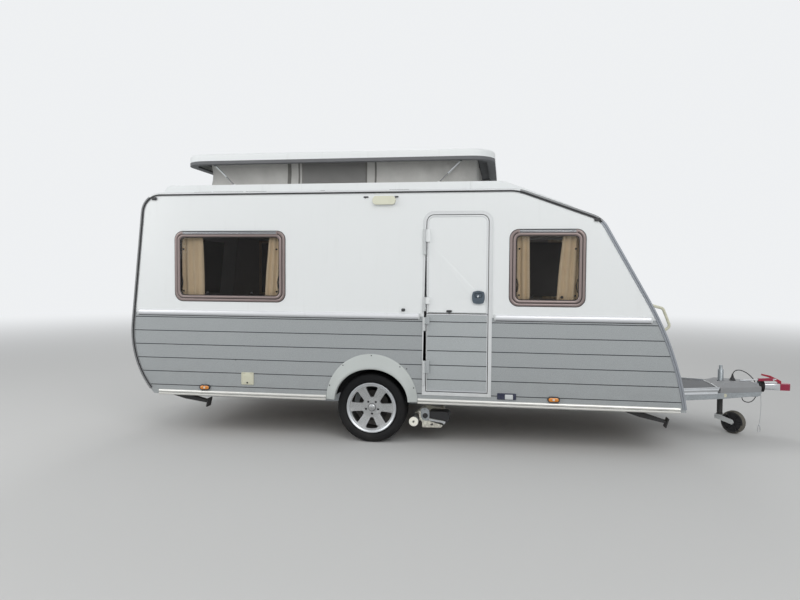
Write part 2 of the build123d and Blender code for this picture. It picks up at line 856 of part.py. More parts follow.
for side_name, side in sides:
    with BuildPart() as chassis_rail:
        rail_bottom = floor_bottom - rail_depth
        extrude(rail_band(side, rail_width, rail_bottom), amount=rail_depth)
        extrude(
            rail_band(side, rail_width - rail_wall, rail_bottom + rail_wall),
            amount=rail_depth - 2 * rail_wall, mode=Mode.SUBTRACT,
        )
        with BuildSketch(side_plane(900)):
            with BuildLine():
                Polyline(
                    (1900, rail_bottom), (2450, 322), (2970, 329), (rail_front, 345),
                    (rail_front, floor_bottom), (rail_front + 50, floor_bottom),
                    (rail_front + 50, 0), (1900, 0), close=True,
                )
            make_face()
        extrude(amount=1800, mode=Mode.SUBTRACT)
        with BuildSketch(side_plane(900)):
            with Locations((axle_tube_x, axle_tube_z)):
                Circle(axle_tube_radius + 1)
        extrude(amount=1800, mode=Mode.SUBTRACT)
    chassis_rail.part.label = f"chassis_rail_{side_name}"
    export_step(chassis_rail.part, f"parts/chassis_rail_{side_name}.step")


def rail_inner(x):
    """How far the drawbar rail's inner face is from the middle at a place ahead of the bend."""
    return rail_front_y + (rail_front - x) * (rail_y - rail_front_y) / (rail_front - rail_bend)


# Cross members between the rails, and outriggers that carry the steadies
member_places = (-1500, -500, 760, 1700)
member_width = 50
member_depth = 50
# Steadies: name, X of the pivot, how far the stowed leg points down in degrees
steady_pivots = (("rear", -1808, 12), ("front", 2030, 16))
pivot_height = 332
pivot_radius = 8
outrigger_end = half_width - 210
with BuildPart() as cross_members:
    for place in member_places:
        with BuildSketch(cross_plane(place)):
            with Locations((0, floor_bottom - member_depth / 2)):
                Rectangle(2 * rail_y, member_depth)
        extrude(amount=member_width)
    for end_name, pivot_x, fold in steady_pivots:
        outer_rail = rail_y + rail_width if pivot_x < 0 else rail_inner(pivot_x)
        for side_name, side in sides:
            with BuildSketch(side_plane(side * outer_rail)):
                with Locations((pivot_x, pivot_height)):
                    Rectangle(44, 34)
            extrude(amount=-side * (outrigger_end - outer_rail))
            extrude(rail_band(side, rail_width, 100), amount=500, mode=Mode.SUBTRACT)
            with BuildSketch(side_plane(side * outrigger_end)):
                with Locations((pivot_x, pivot_height)):
                    Circle(pivot_radius)
            extrude(amount=-side * 46)
cross_members.part.label = "cross_members"
export_step(cross_members.part, "parts/cross_members.step")

# Steadies, stowed with the foot forward and low
steady_length = 330
steady_width = 42
for end_name, pivot_x, fold in steady_pivots:
    for side_name, side in sides:
        lean = radians(fold)
        steady_plane = Plane(
            origin=(axle_x + pivot_x, side * (outrigger_end + 2), pivot_height),
            x_dir=(cos(lean), 0, -sin(lean)),
            z_dir=(0, -1, 0),
        )
        with BuildPart() as steady:
            with BuildSketch(steady_plane):
                with BuildLine():
                    Polyline(
                        (0, 20), (steady_length, 10), (steady_length, -12), (120, -26),
                        (0, -20), close=True,
                    )
                make_face()
                Circle(20)
                Circle(pivot_radius + 0.05, mode=Mode.SUBTRACT)
            extrude(amount=-side * steady_width)
            with BuildSketch(steady_plane.offset(side * 20)):
                with Locations((steady_length + 3, -6)):
                    Rectangle(10, 76)
            extrude(amount=-side * (steady_width + 40))
        steady.part.label = f"steady_{end_name}_{side_name}"
        export_step(steady.part, f"parts/steady_{end_name}_{side_name}.step")

# Electric mover: a cross tube under the rails with a motor and roller ahead of each wheel
mover_x = 552
mover_z = 218
mover_tube_radius = 20
motor_length = 120
roller_x = 350
roller_z = 184
roller_radius = 32
roller_length = 174
mover_foot = arm_end_y + 14
mover_face = mover_foot + motor_length
with BuildPart() as mover:
    with BuildSketch(side_plane(arm_end_y)):
        with Locations((mover_x, mover_z + 14)):
            Circle(mover_tube_radius)
    extrude(amount=2 * arm_end_y)
    for side_name, side in sides:
        with BuildSketch(side_plane(side * arm_end_y)):
            with BuildLine():
                Polyline(
                    (roller_x - 34, roller_z - 26), (roller_x + 70, 150), (mover_x + 60, 176),
                    (mover_x + 70, 262), (roller_x + 70, 292), (roller_x - 10, 226), close=True,
                )
            make_face()
        extrude(amount=-side * 14)
        with BuildSketch(side_plane(side * mover_foot)):
            with Locations((roller_x, roller_z)):
                Circle(roller_radius)
        extrude(amount=-side * roller_length)
        with BuildSketch(side_plane(side * (mover_foot + roller_length))):
            with Locations((roller_x, roller_z)):
                Circle(roller_radius + 6)
        extrude(amount=-side * 6)
        with BuildSketch(side_plane(side * mover_foot)):
            with Locations((mover_x, mover_z)):
                RectangleRounded(172, 88, 30)
            with Locations((roller_x + 84, mover_z - 12)):
                Rectangle(70, 60)
        extrude(amount=-side * motor_length)
        with BuildSketch(side_plane(side * mover_face)):
            with Locations((roller_x + 85, 234)):
                SlotOverall(114, 78, rotation=90)
            with Locations((roller_x + 83, 216)):
                Circle(22, mode=Mode.SUBTRACT)
            with Locations((roller_x + 86, 280)):
                Circle(5, mode=Mode.SUBTRACT)
        extrude(amount=-side * 8)
        with BuildSketch(side_plane(side * (mover_face + 8))):
            with BuildLine():
                Polyline(
                    (385, 266), (393, 205), (415, 170), (415, 130), (570, 133), (586, 152),
                    (482, 182), (470, 188), (448, 183), (420, 188), (404, 214), (400, 266),
                    close=True,
                )
            make_face()
            with Locations((489, 153)):
                Circle(6, mode=Mode.SUBTRACT)
        extrude(amount=-side * 8)
        with BuildSketch(side_plane(side * (mover_face + 8))):
            with BuildLine():
                Polyline((470, 190), (606, 170), (608, 186), (470, 206), close=True)
            make_face()
        extrude(amount=-side * 14)
mover.part.label = "mover"
export_step(mover.part, "parts/mover.step")

# Drawbar: deck plate, moulded cover, overrun housing, bellows and coupling head
deck_rear = 2475
deck_front = 2930
cover_front = 3306
draw_height = 416
draw_radius = 22
bellows_rear = 3316
bellows_length = 44
with BuildPart() as drawbar_deck:
    with BuildSketch(plan_plane(floor_bottom)):
        with BuildLine():
            Polyline(
                (deck_rear, -rail_inner(deck_rear) - 50), (deck_front, -rail_inner(deck_front) - 50),
                (deck_front, rail_inner(deck_front) + 50), (deck_rear, rail_inner(deck_rear) + 50),
                close=True,
            )
        make_face()
    extrude(amount=38)
    chamfer(drawbar_deck.faces().sort_by(Axis.Z)[-1].edges().filter_by(Axis.Y, reverse=True), 24)
    offset(amount=-4, openings=drawbar_deck.faces().sort_by(Axis.Z)[0])
drawbar_deck.part.label = "drawbar_deck"
export_step(drawbar_deck.part, "parts/drawbar_deck.step")

jockey_x = 3000
jockey_tube_radius = 24
plug_x = 3100
plug_radius = 21
cover_side = 45
cover_crown = 34
cover_slope = 60
cover_top = floor_bottom + cover_side + cover_crown
with BuildPart() as drawbar_cover:
    with BuildSketch(plan_plane(floor_bottom)):
        with BuildLine():
            Polyline(
                (deck_front, -rail_inner(deck_front) - 52), (cover_front, -rail_inner(cover_front) - 52),
                (cover_front, rail_inner(cover_front) + 52), (deck_front, rail_inner(deck_front) + 52),
                close=True,
            )
        make_face()
    extrude(amount=cover_side)
    extrude(drawbar_cover.faces().sort_by(Axis.Z)[-1], amount=cover_crown, taper=cover_slope)
    offset(amount=-4, openings=drawbar_cover.faces().sort_by(Axis.Z)[0])
    with BuildSketch(plan_plane(floor_bottom)):
        with Locations((jockey_x, 0)):
            Circle(jockey_tube_radius + 4)
        with Locations((plug_x, 0)):
            Circle(plug_radius + 1)
    extrude(amount=cover_top - floor_bottom, mode=Mode.SUBTRACT)
    with BuildSketch(cross_plane(3200)):
        with Locations((0, draw_height)):
            Circle(36)
        with Locations((0, draw_height - 36)):
            Rectangle(64, 72)
    extrude(amount=200, mode=Mode.SUBTRACT)
drawbar_cover.part.label = "drawbar_cover"
export_step(drawbar_cover.part, "parts/drawbar_cover.step")

# The housing's front plate joins the rails and has an eye for the breakaway cable
housing_rear = 3130
eye_x = rail_front + 13
eye_y = -80
eye_bottom = 364
with BuildPart() as overrun_housing:
    with BuildSketch(plan_plane(floor_bottom - rail_front_depth)):
        with BuildLine():
            Polyline(
                (3120, -rail_inner(3120)), (rail_front, -rail_front_y),
                (rail_front, rail_front_y), (3120, rail_inner(3120)), close=True,
            )
        make_face()
    extrude(amount=rail_front_depth)
    with BuildSketch(cross_plane(housing_rear)):
        with Locations((0, draw_height)):
            Circle(30)
        with Locations((0, draw_height - 30)):
            Rectangle(60, 60)
    extrude(amount=bellows_rear - housing_rear)
    with BuildSketch(plan_plane(348)):
        with Locations((rail_front + 3, 0)):
            Rectangle(6, 190)
    extrude(amount=28)
    with BuildSketch(plan_plane(eye_bottom)):
        with Locations((eye_x - 1, eye_y)):
            Rectangle(18, 12)
    extrude(amount=10)
overrun_housing.part.label = "overrun_housing"
export_step(overrun_housing.part, "parts/overrun_housing.step")

with BuildPart() as bellows:
    bellows_plane = Plane(origin=(axle_x + bellows_rear, 0, draw_height), x_dir=(1, 0, 0), z_dir=(0, -1, 0))
    with BuildSketch(bellows_plane):
        with BuildLine():
            Polyline(
                (0, draw_radius), (0, 42), (10, 52), (20, 42), (30, 49), (bellows_length, 35),
                (bellows_length, draw_radius), close=True,
            )
        make_face()
    revolve(axis=Axis((0, 0, draw_height), (1, 0, 0)))
bellows.part.label = "bellows"
export_step(bellows.part, "parts/bellows.step")

ball_x = 3544
ball_radius = 25
cup_radius = coupling_front - ball_x
with BuildPart() as coupling_head:
    with BuildSketch(cross_plane(bellows_rear)):
        with Locations((0, draw_height)):
            Circle(draw_radius)
    extrude(amount=bellows_length)
    with BuildSketch(cross_plane(bellows_rear + bellows_length)):
        with Locations((0, draw_height)):
            RectangleRounded(62, 62, 18)
    extrude(amount=110)
    with BuildSketch(plan_plane(draw_height - 30)):
        with BuildLine():
            Polyline(
                (ball_x - 104, -30), (ball_x, -cup_radius), (ball_x, cup_radius),
                (ball_x - 104, 30), close=True,
            )
        make_face()
        with Locations((ball_x, 0)):
            Circle(cup_radius)
    extrude(amount=58)
    with BuildSketch(plan_plane(draw_height - 30)):
        with Locations((ball_x, 0)):
            Circle(ball_radius + 0.5)
    extrude(amount=44, mode=Mode.SUBTRACT)
coupling_head.part.label = "coupling_head"
export_step(coupling_head.part, "parts/coupling_head.step")

with BuildPart() as hand_levers:
    with BuildSketch(side_plane(-34)):
        with BuildLine():
            Polyline(
                (3150, cover_top), (3200, cover_top), (3268, 471), (3450, 479), (3450, 489),
                (3268, 481), (3150, 470), close=True,
            )
        make_face()
    extrude(amount=12)
    with BuildSketch(side_plane(-28)):
        with BuildLine():
            Polyline((3300, 466), (3420, 471), (3420, 495), (3300, 490), close=True)
        make_face()
    extrude(amount=24)
    with BuildSketch(side_plane(8)):
        with BuildLine():
            Polyline(
                (3505, draw_height + 28), (3505, 466), (3412, 512), (3342, 526), (3338, 512),
                (3400, 496), (3478, 452), (3470, draw_height + 28), close=True,
            )
        make_face()
    extrude(amount=16)
hand_levers.part.label = "hand_levers"
export_step(hand_levers.part, "parts/hand_levers.step")

# Jockey wheel: clamped outer tube, sliding leg, swivelling fork and wheel
jockey_top = 594
jockey_shoulder = 557
jockey_cap_radius = 15
clamp_bottom = 322
clamp_depth = 46
tube_bottom = 172
leg_radius = 19
leg_bottom = 156
castor_turn = radians(40)
trail = 120
jockey_radius = 100
jockey_half = 28
with BuildPart() as jockey_tube:
    with BuildSketch(plan_plane(tube_bottom)):
        with Locations((jockey_x, 0)):
            Circle(jockey_tube_radius)
    extrude(amount=jockey_shoulder - tube_bottom)
    with BuildSketch(plan_plane(jockey_shoulder)):
        with Locations((jockey_x, 0)):
            Circle(jockey_cap_radius)
    extrude(amount=jockey_top - jockey_shoulder)
    with BuildSketch(plan_plane(clamp_bottom)):
        with BuildLine():
            Polyline(
                (jockey_x - 30, -rail_inner(jockey_x - 30)), (jockey_x + 30, -rail_inner(jockey_x + 30)),
                (jockey_x + 30, rail_inner(jockey_x + 30)), (jockey_x - 30, rail_inner(jockey_x - 30)),
                close=True,
            )
        make_face()
    extrude(amount=clamp_depth)
    with BuildSketch(plan_plane(tube_bottom)):
        with Locations((jockey_x, 0)):
            Circle(leg_radius + 0.5)
    extrude(amount=jockey_shoulder - tube_bottom - 6, mode=Mode.SUBTRACT)
jockey_tube.part.label = "jockey_tube"
export_step(jockey_tube.part, "parts/jockey_tube.step")

with BuildPart() as jockey_leg:
    with BuildSketch(plan_plane(leg_bottom)):
        with Locations((jockey_x, 0)):
            Circle(leg_radius)
    extrude(amount=390)
    with BuildSketch(plan_plane(leg_bottom)):
        with Locations((jockey_x, 0)):
            Circle(leg_radius + 7)
    extrude(amount=10)
jockey_leg.part.label = "jockey_leg"
export_step(jockey_leg.part, "parts/jockey_leg.step")


def castor_plane(out):
    """Upright plane along the turned castor; its local axes are trailing and up."""
    facing = Vector(-sin(castor_turn), -cos(castor_turn), 0)
    return Plane(
        origin=Vector(axle_x + jockey_x, 0, 0) + facing * out,
        x_dir=(cos(castor_turn), -sin(castor_turn), 0),
        z_dir=facing,
    )


with BuildPart() as jockey_fork:
    with BuildSketch(castor_plane(-38)):
        with BuildLine():
            Polyline((-30, 118), (12, 118), (12, leg_bottom - 1), (-30, leg_bottom - 1), close=True)
        make_face()
    extrude(amount=76)
    for out in (-38, 33):
        with BuildSketch(castor_plane(out)):
            with BuildLine():
                Polyline(
                    (-30, leg_bottom - 1), (12, leg_bottom - 1), (trail + 8, 124), (trail + 20, 100),
                    (trail + 4, 82), (-30, 118), close=True,
                )
            make_face()
        extrude(amount=5)
    with BuildSketch(castor_plane(-36)):
        with Locations((trail, jockey_radius)):
            Circle(7.95)
    extrude(amount=72)
jockey_fork.part.label = "jockey_fork"
export_step(jockey_fork.part, "parts/jockey_fork.step")

with BuildPart() as jockey_wheel:
    with BuildSketch(castor_plane(-jockey_half)):
        with Locations((trail, jockey_radius)):
            Circle(jockey_radius)
    extrude(amount=2 * jockey_half)
    chamfer(jockey_wheel.edges().filter_by(GeomType.CIRCLE).sort_by(SortBy.LENGTH)[-2:], 9)
    for out, depth in ((-jockey_half, 18), (jockey_half, -18)):
        with BuildSketch(castor_plane(out)):
            with Locations((trail, jockey_radius)):
                Circle(78)
                Circle(20, mode=Mode.SUBTRACT)
                with PolarLocations(49, 6):
                    Rectangle(64, 5, mode=Mode.SUBTRACT)
        extrude(amount=depth, mode=Mode.SUBTRACT)
    with BuildSketch(castor_plane(-jockey_half)):
        with Locations((trail, jockey_radius)):
            Circle(8)
    extrude(amount=2 * jockey_half, mode=Mode.SUBTRACT)
jockey_wheel.part.label = "jockey_wheel"
export_step(jockey_wheel.part, "parts/jockey_wheel.step")

# Furniture seen through the windows and the open door
floor_top = floor_bottom + floor_thickness
seat_top = 760
cushion_top = 870
back_top = 1120
cushion_half = inner_half - 4


def cabin_slice(bottom, top, rear, front, y):
    """A slice of the cabin's side view between its limits, on the side plane at y."""
    with BuildSketch(side_plane(y)) as piece:
        add(body_section(trim + wall + 1, bottom, top))
        with Locations(((rear + front) / 2, 1000)):
            Rectangle(front - rear, 4000, mode=Mode.INTERSECT)
    return piece.sketch


with BuildPart() as furniture:
    extrude(cabin_slice(floor_top, seat_top, -1950, -430, inner_half), amount=2 * inner_half)
    with BuildSketch(plan_plane(floor_top)):
        with Locations((-830, 0)):
            Rectangle(820, 760)
    extrude(amount=seat_top - floor_top, mode=Mode.SUBTRACT)
    extrude(cabin_slice(floor_top, seat_top, 1150, 2300, inner_half), amount=2 * inner_half)
    extrude(cabin_slice(floor_top, 1290, -420, 700, inner_half), amount=inner_half - 430)
    with BuildSketch(plan_plane(floor_top)):
        with Locations((arch_x, (housing_inner_y + inner_half) / 2)):
            Rectangle(2 * housing_radius + 10, inner_half - housing_inner_y + 20)
    extrude(amount=housing_radius - 45, mode=Mode.SUBTRACT)
furniture.part.label = "furniture"
export_step(furniture.part, "parts/furniture.step")

with BuildPart() as seat_cushions:
    extrude(cabin_slice(seat_top, back_top, -1960, -440, cushion_half), amount=2 * cushion_half)
    with BuildSketch(plan_plane(seat_top)):
        with Locations((-840, 0)):
            Rectangle(802, 770)
    extrude(amount=back_top - seat_top, mode=Mode.SUBTRACT)
    with BuildSketch(plan_plane(cushion_top)):
        with Locations((-1035, 0)):
            Rectangle(1400, 1760)
    extrude(amount=back_top - cushion_top, mode=Mode.SUBTRACT)
    extrude(cabin_slice(seat_top, cushion_top, 1160, 2280, cushion_half), amount=2 * cushion_half)
seat_cushions.part.label = "seat_cushions"
export_step(seat_cushions.part, "parts/seat_cushions.step")

with BuildPart() as dinette_table:
    with BuildSketch(plan_plane(1110)):
        with Locations((-830, 0)):
            RectangleRounded(700, 640, 60)
    extrude(amount=22)
    with BuildSketch(plan_plane(floor_top)):
        with Locations((-830, 0)):
            Circle(28)
    extrude(amount=1110 - floor_top)
dinette_table.part.label = "dinette_table"
export_step(dinette_table.part, "parts/dinette_table.step")

with BuildPart() as curtains:
    for side_name, side in sides:
        for rear, front, bottom, top in side_windows:
            spans = ((rear - 40, front + 40, top + 20, top + 34),
                     (rear - 30, rear + 150, bottom - 20, top + 20),
                     (front - 170, front + 30, bottom - 20, top + 20))
            for start, end, low, high in spans:
                with BuildSketch(side_plane(side * inner_half)):
                    with Locations(((start + end) / 2, (low + high) / 2)):
                        Rectangle(end - start, high - low)
                extrude(amount=side * 24)
curtains.part.label = "curtains"
export_step(curtains.part, "parts/curtains.step")

# Side markers, tail lamps that follow the curved tail, and the awning light
# Markers: centre X, centre height, length, height, how far out, corner
marker_places = ((-1431, 420, 95, 46, 16, 22), (1463, 420, 95, 46, 16, 22))
lamp_half_width = half_width - trim_top - 55
lamp_width = 130
with BuildPart() as lamps:
    for side_name, side in sides:
        for x, z, length, height, out, corner in marker_places:
            with BuildSketch(side_plane(side * half_width)):
                with Locations((x, z)):
                    RectangleRounded(length, height, corner)
            extrude(amount=-side * out)
        with BuildSketch(side_plane(side * lamp_half_width)):
            add(body_section(-24, 520, 860))
            add(body_section(trim, 400, 1000), mode=Mode.SUBTRACT)
            with Locations((-2000, 700)):
                Rectangle(900, 1000, mode=Mode.INTERSECT)
        extrude(amount=side * lamp_width)
    with BuildSketch(side_plane(-half_width)):
        with Locations((110, roof_height - 85)):
            RectangleRounded(188, 70, 30)
    extrude(amount=30)
lamps.part.label = "lamps"
export_step(lamps.part, "parts/lamps.step")

# side, centre X, centre height, length, height, how far out
cover_places = (
    (-1, -1051, 506, 108, 104, 10),
    (-1, 1100, 431, 148, 50, 12),
    (1, -150, 1290, 430, 180, 10),
    (1, -150, 860, 430, 180, 10),
    (1, 1450, 680, 380, 360, 8),
)
with BuildPart() as service_covers:
    for side, x, z, length, height, out in cover_places:
        with BuildSketch(side_plane(side * half_width)):
            with Locations((x, z)):
                RectangleRounded(length, height, 10)
        extrude(amount=-side * out)
service_covers.part.label = "service_covers"
export_step(service_covers.part, "parts/service_covers.step")

# Grab handles stand off the corners of nose and tail
handle_y = half_width - 125
handle_routes = (
    ((-2060, 960), (-handle_out, 985), (-handle_out, 1150), (-2050, 1175)),
    ((2290, 960), (2345, 1000), (2290, 1140), (2180, 1170)),
)
with BuildPart() as grab_handles:
    for side_name, side in sides:
        for route in handle_routes:
            with BuildLine(side_plane(side * handle_y)) as grip:
                FilletPolyline(*route, radius=30)
            with BuildSketch(Plane(origin=grip.line @ 0, z_dir=grip.line % 0)):
                Circle(handle_radius)
            sweep(path=grip.line)
    with BuildSketch(side_plane(half_width)):
        add(body_section(trim, 500, 1900))
    extrude(amount=2 * half_width, mode=Mode.SUBTRACT)
grab_handles.part.label = "grab_handles"
export_step(grab_handles.part, "parts/grab_handles.step")

# Plug parked upright in a hole of the cover, with the lead that leaves its top
plug_bottom = 432
plug_top = 488
with BuildPart() as plug:
    with BuildSketch(plan_plane(cover_top)):
        with Locations((plug_x, 0)):
            Circle(plug_radius + 6)
    extrude(amount=10)
    with BuildSketch(plan_plane(plug_bottom)):
        with Locations((plug_x, 0)):
            Circle(plug_radius)
    extrude(amount=plug_top - plug_bottom - 10)
    with BuildSketch(plan_plane(plug_top - 10)):
        with Locations((plug_x, 0)):
            Circle(plug_radius - 9)
    extrude(amount=10)
plug.part.label = "plug"
export_step(plug.part, "parts/plug.step")


def hose(name, route, diameter):
    """Straight runs joined by large arcs, as thick as the cord."""
    points = [Vector(axle_x + x, y, z) for x, y, z in route]
    runs = [(b - a).length for a, b in zip(points, points[1:])]
    radii = []
    for before, after, a, b, c in zip(runs, runs[1:], points, points[1:], points[2:]):
        turn = radians((b - a).get_angle(c - b))
        radii.append(0.45 * min(before, after) / sin(turn / 2) * cos(turn / 2))
    with BuildPart() as tube:
        with BuildLine() as path:
            FilletPolyline(*points, radius=radii)
        with BuildSketch(Plane(origin=path.line @ 0, z_dir=path.line % 0)):
            Circle(diameter / 2)
        sweep(path=path.line)
    length = sum(edge.length for edge in path.line.edges())
    filled = tube.part.volume / (length * pi * (diameter / 2) ** 2)
    print(name, "length", round(length), "fill", round(filled, 3), "radii", [round(r) for r in radii])
    tube.part.label = name
    return tube.part


lead_diameter = 8
# Forward, left and up along the lead from the plug to the gland under the housing
lead_route = (
    (3100, 0, 488), (3101, 0, 524), (3126, 3, 550), (3168, 9, 553), (3218, 22, 532), (3266, 42, 498),
    (3308, 62, 452), (3334, 80, 394), (3340, 86, 332), (3312, 72, 276), (3264, 44, 256),
    (3214, 18, 266), (3184, 2, 292), (3182, 0, 330),
)
lead = hose("lead", lead_route, lead_diameter)
export_step(lead, "parts/lead.step")

breakaway_diameter = 4
# From the eye of the housing's front plate down to the hook near the ground
breakaway_route = (
    (eye_x, eye_y, eye_bottom), (3314, -80, 320), (3317, -80, 262), (3316, -81, 200),
    (3311, -82, 144), (3304, -83, 88),
)
breakaway_cable = hose("breakaway_cable", breakaway_route, breakaway_diameter)
export_step(breakaway_cable, "parts/breakaway_cable.step")

hook_x, hook_y, hook_top = breakaway_route[-1]
hook_depth = 6
with BuildPart() as snap_hook:
    with BuildSketch(plan_plane(hook_top - 14)):
        with Locations((hook_x, hook_y)):
            Circle(5)
    extrude(amount=14)
    with BuildSketch(side_plane(hook_y + hook_depth / 2)):
        with Locations((hook_x, hook_top - 40)):
            SlotOverall(58, 24, rotation=90)
            SlotOverall(46, 12, rotation=90, mode=Mode.SUBTRACT)
    extrude(amount=hook_depth)
snap_hook.part.label = "snap_hook"
export_step(snap_hook.part, "parts/snap_hook.step")
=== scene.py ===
"""A single-axle travel caravan with a lifting roof, dressed for its picture.

Everything is in metres in the row frame: +X runs to the coupling, +Y to the left and
+Z up. Places along the caravan are given from the axle, as they are in the part's source.
"""
from math import acos, atan2, cos, hypot, pi, radians, sin, tan
import json

import bmesh
import bpy
from mathutils import Matrix, Vector, noise


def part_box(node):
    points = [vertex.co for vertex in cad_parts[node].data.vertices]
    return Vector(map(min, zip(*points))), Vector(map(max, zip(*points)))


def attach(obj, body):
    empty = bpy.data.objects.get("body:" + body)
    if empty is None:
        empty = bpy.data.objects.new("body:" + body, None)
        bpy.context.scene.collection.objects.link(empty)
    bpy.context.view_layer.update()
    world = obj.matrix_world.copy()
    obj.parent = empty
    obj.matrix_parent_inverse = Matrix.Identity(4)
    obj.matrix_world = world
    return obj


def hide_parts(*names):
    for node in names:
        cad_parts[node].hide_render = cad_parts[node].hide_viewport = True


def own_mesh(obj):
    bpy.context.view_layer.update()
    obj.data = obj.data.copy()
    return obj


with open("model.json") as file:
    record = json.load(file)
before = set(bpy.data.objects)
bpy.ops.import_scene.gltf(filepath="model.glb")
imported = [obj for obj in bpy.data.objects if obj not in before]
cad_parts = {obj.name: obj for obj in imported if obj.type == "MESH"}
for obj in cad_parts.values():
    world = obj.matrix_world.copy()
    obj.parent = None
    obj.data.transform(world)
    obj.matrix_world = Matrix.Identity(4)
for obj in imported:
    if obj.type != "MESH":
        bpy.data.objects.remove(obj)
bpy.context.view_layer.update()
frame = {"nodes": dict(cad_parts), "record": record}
record = frame["record"]
slot_of = {piece["node"]: piece["material_slot"] for piece in record["subparts"]}
body_of = {node: body for body, nodes in record["behaviour"]["bodies"].items() for node in nodes}

# Main places, read from the frame
AXLE = (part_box("rim_right")[0].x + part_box("rim_right")[1].x) / 2
WALL = -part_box("wall_upper_right")[0].y
TYRE_LOW, TYRE_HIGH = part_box("tyre_right")
WHEEL_Y = -(TYRE_LOW.y + TYRE_HIGH.y) / 2
TYRE_RADIUS = TYRE_HIGH.z / 2
COVER_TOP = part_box("drawbar_cover")[1].z
SIDES = (("right", -1), ("left", 1))

# Corners of the body seen from the side, with the arcs that join them
TAIL_LOW = Vector((-2.101, 0.960))
TAIL_HIGH = Vector((-1.988, 2.068))
ROOF_FRONT = Vector((1.173, 2.068))
BROW = Vector((1.8115, 1.835))
NOSE_LOW = Vector((2.167, 1.209))
TOE = Vector((2.463, 0.300))
HEEL = Vector((-1.853, 0.300))
CORNER_ROUNDS = ((TAIL_HIGH, 0.175), (ROOF_FRONT, 0.400), (BROW, 0.204))
WALL_BOTTOM = 0.354

# Side windows: rear edge, front edge, bottom, top
SIDE_WINDOWS = ((-1.695, -0.724, 1.154, 1.740), (1.111, 1.687, 1.149, 1.747))
WINDOW_CORNER = 0.070


# ---------------------------------------------------------------- shader node helpers
class Nodes:
    """Adds nodes to a tree and feeds their sockets with values or other sockets."""

    def __init__(self, tree):
        self.tree = tree

    def add(self, kind, inputs=None, **settings):
        node = self.tree.nodes.new(kind)
        for key, value in settings.items():
            setattr(node, key, value)
        for key, value in (inputs or {}).items():
            self.feed(node.inputs[key], value)
        return node

    def feed(self, socket, value):
        if isinstance(value, bpy.types.NodeSocket):
            self.tree.links.new(value, socket)
        else:
            socket.default_value = value

    def coords(self):
        return self.add("ShaderNodeTexCoord").outputs["Object"]

    def split(self, vector):
        return self.add("ShaderNodeSeparateXYZ", {0: vector}).outputs

    def math(self, operation, a, b=0.0, clamp=False):
        return self.add("ShaderNodeMath", {0: a, 1: b}, operation=operation, use_clamp=clamp).outputs[0]

    def plus(self, a, b):
        return self.math("ADD", a, b)

    def times(self, a, b):
        return self.math("MULTIPLY", a, b)

    def mix(self, factor, a, b, blend="MIX"):
        node = self.add("ShaderNodeMix", {0: factor, 6: a, 7: b}, data_type="RGBA", blend_type=blend)
        return node.outputs[2]

    def noise(self, vector, scale, detail=3.0, roughness=0.5):
        inputs = {"Vector": vector, "Scale": scale, "Detail": detail, "Roughness": roughness}
        return self.add("ShaderNodeTexNoise", inputs).outputs["Fac"]

    def cells(self, vector, scale):
        """A random colour for each cell, as its three channels."""
        cells = self.add("ShaderNodeTexVoronoi", {"Vector": vector, "Scale": scale})
        return self.add("ShaderNodeSeparateColor", {0: cells.outputs["Color"]}).outputs

    def ramp(self, value, low, high):
        """Runs from 0 at low to 1 at high, and stays there."""
        inputs = {"Value": value, "From Min": low, "From Max": high}
        return self.add("ShaderNodeMapRange", inputs, interpolation_type="SMOOTHSTEP").outputs[0]

    def stretched(self, vector, scale):
        """Coordinates scaled on each axis."""
        return self.add("ShaderNodeMapping", {"Vector": vector, "Scale": scale}).outputs[0]

    def swung(self, source, value, middle):
        """The source colour made lighter or darker as a value swings about its middle, and the swing."""
        swing = self.times(self.math("SUBTRACT", value, middle), source["Amount"])
        light = self.plus(swing, 1.0)
        grey = self.add("ShaderNodeCombineColor", {0: light, 1: light, 2: light}).outputs[0]
        return self.mix(1.0, source["Color"], grey, "MULTIPLY"), swing


# ---------------------------------------------------------------- effects that finishes share
def mottle(nodes, source, coords):
    """Soft cloudy change of lightness over a surface."""
    cloud = nodes.noise(coords, source["Scale"], 4.0, 0.55)
    return {"Color": nodes.swung(source, cloud, 0.5)[0], "Height": cloud}


def flakes(nodes, source, coords):
    """Fine metal flakes in a coat of paint."""
    colour, swing = nodes.swung(source, nodes.cells(coords, source["Scale"])[0], 0.5)
    return {"Color": colour, "Roughness": nodes.plus(source["Roughness"], nodes.times(swing, 0.4))}


def dirt(nodes, source, coords):
    """Road dust that thickens towards the ground and lies in patches."""
    low = nodes.math("SUBTRACT", 1.0, nodes.ramp(nodes.split(coords)["Z"], 0.0, source["Reach"]))
    patches = nodes.ramp(nodes.noise(coords, 9.0, 6.0, 0.62), 0.30, 0.75)
    specks = nodes.ramp(nodes.noise(coords, 140.0, 3.0), 0.52, 0.74)
    cover = nodes.times(low, nodes.plus(patches, nodes.times(specks, 0.5)))
    mask = nodes.math("MULTIPLY", cover, source["Amount"], clamp=True)
    rough = nodes.plus(source["Roughness"], nodes.times(mask, 0.35))
    return {"Color": nodes.mix(mask, source["Color"], source["Dust"]), "Roughness": rough}


def streaks(nodes, source, coords):
    """Faint stains that rain has drawn down a wall."""
    bands = nodes.ramp(nodes.noise(nodes.stretched(coords, (9.0, 9.0, 0.55)), 3.2, 5.0, 0.6), 0.52, 0.80)
    broken = nodes.ramp(nodes.noise(coords, 5.0, 3.0), 0.35, 0.65)
    mask = nodes.times(nodes.times(bands, broken), source["Amount"])
    return {"Color": nodes.mix(mask, source["Color"], source["Stain"])}


def grain(nodes, source, coords):
    """Height of a fine moulded or sprayed texture."""
    coarse = nodes.noise(coords, source["Scale"], 2.0)
    fine = nodes.noise(coords, nodes.times(source["Scale"], 3.7), 2.0)
    return {"Height": nodes.plus(coarse, nodes.times(fine, 0.4))}


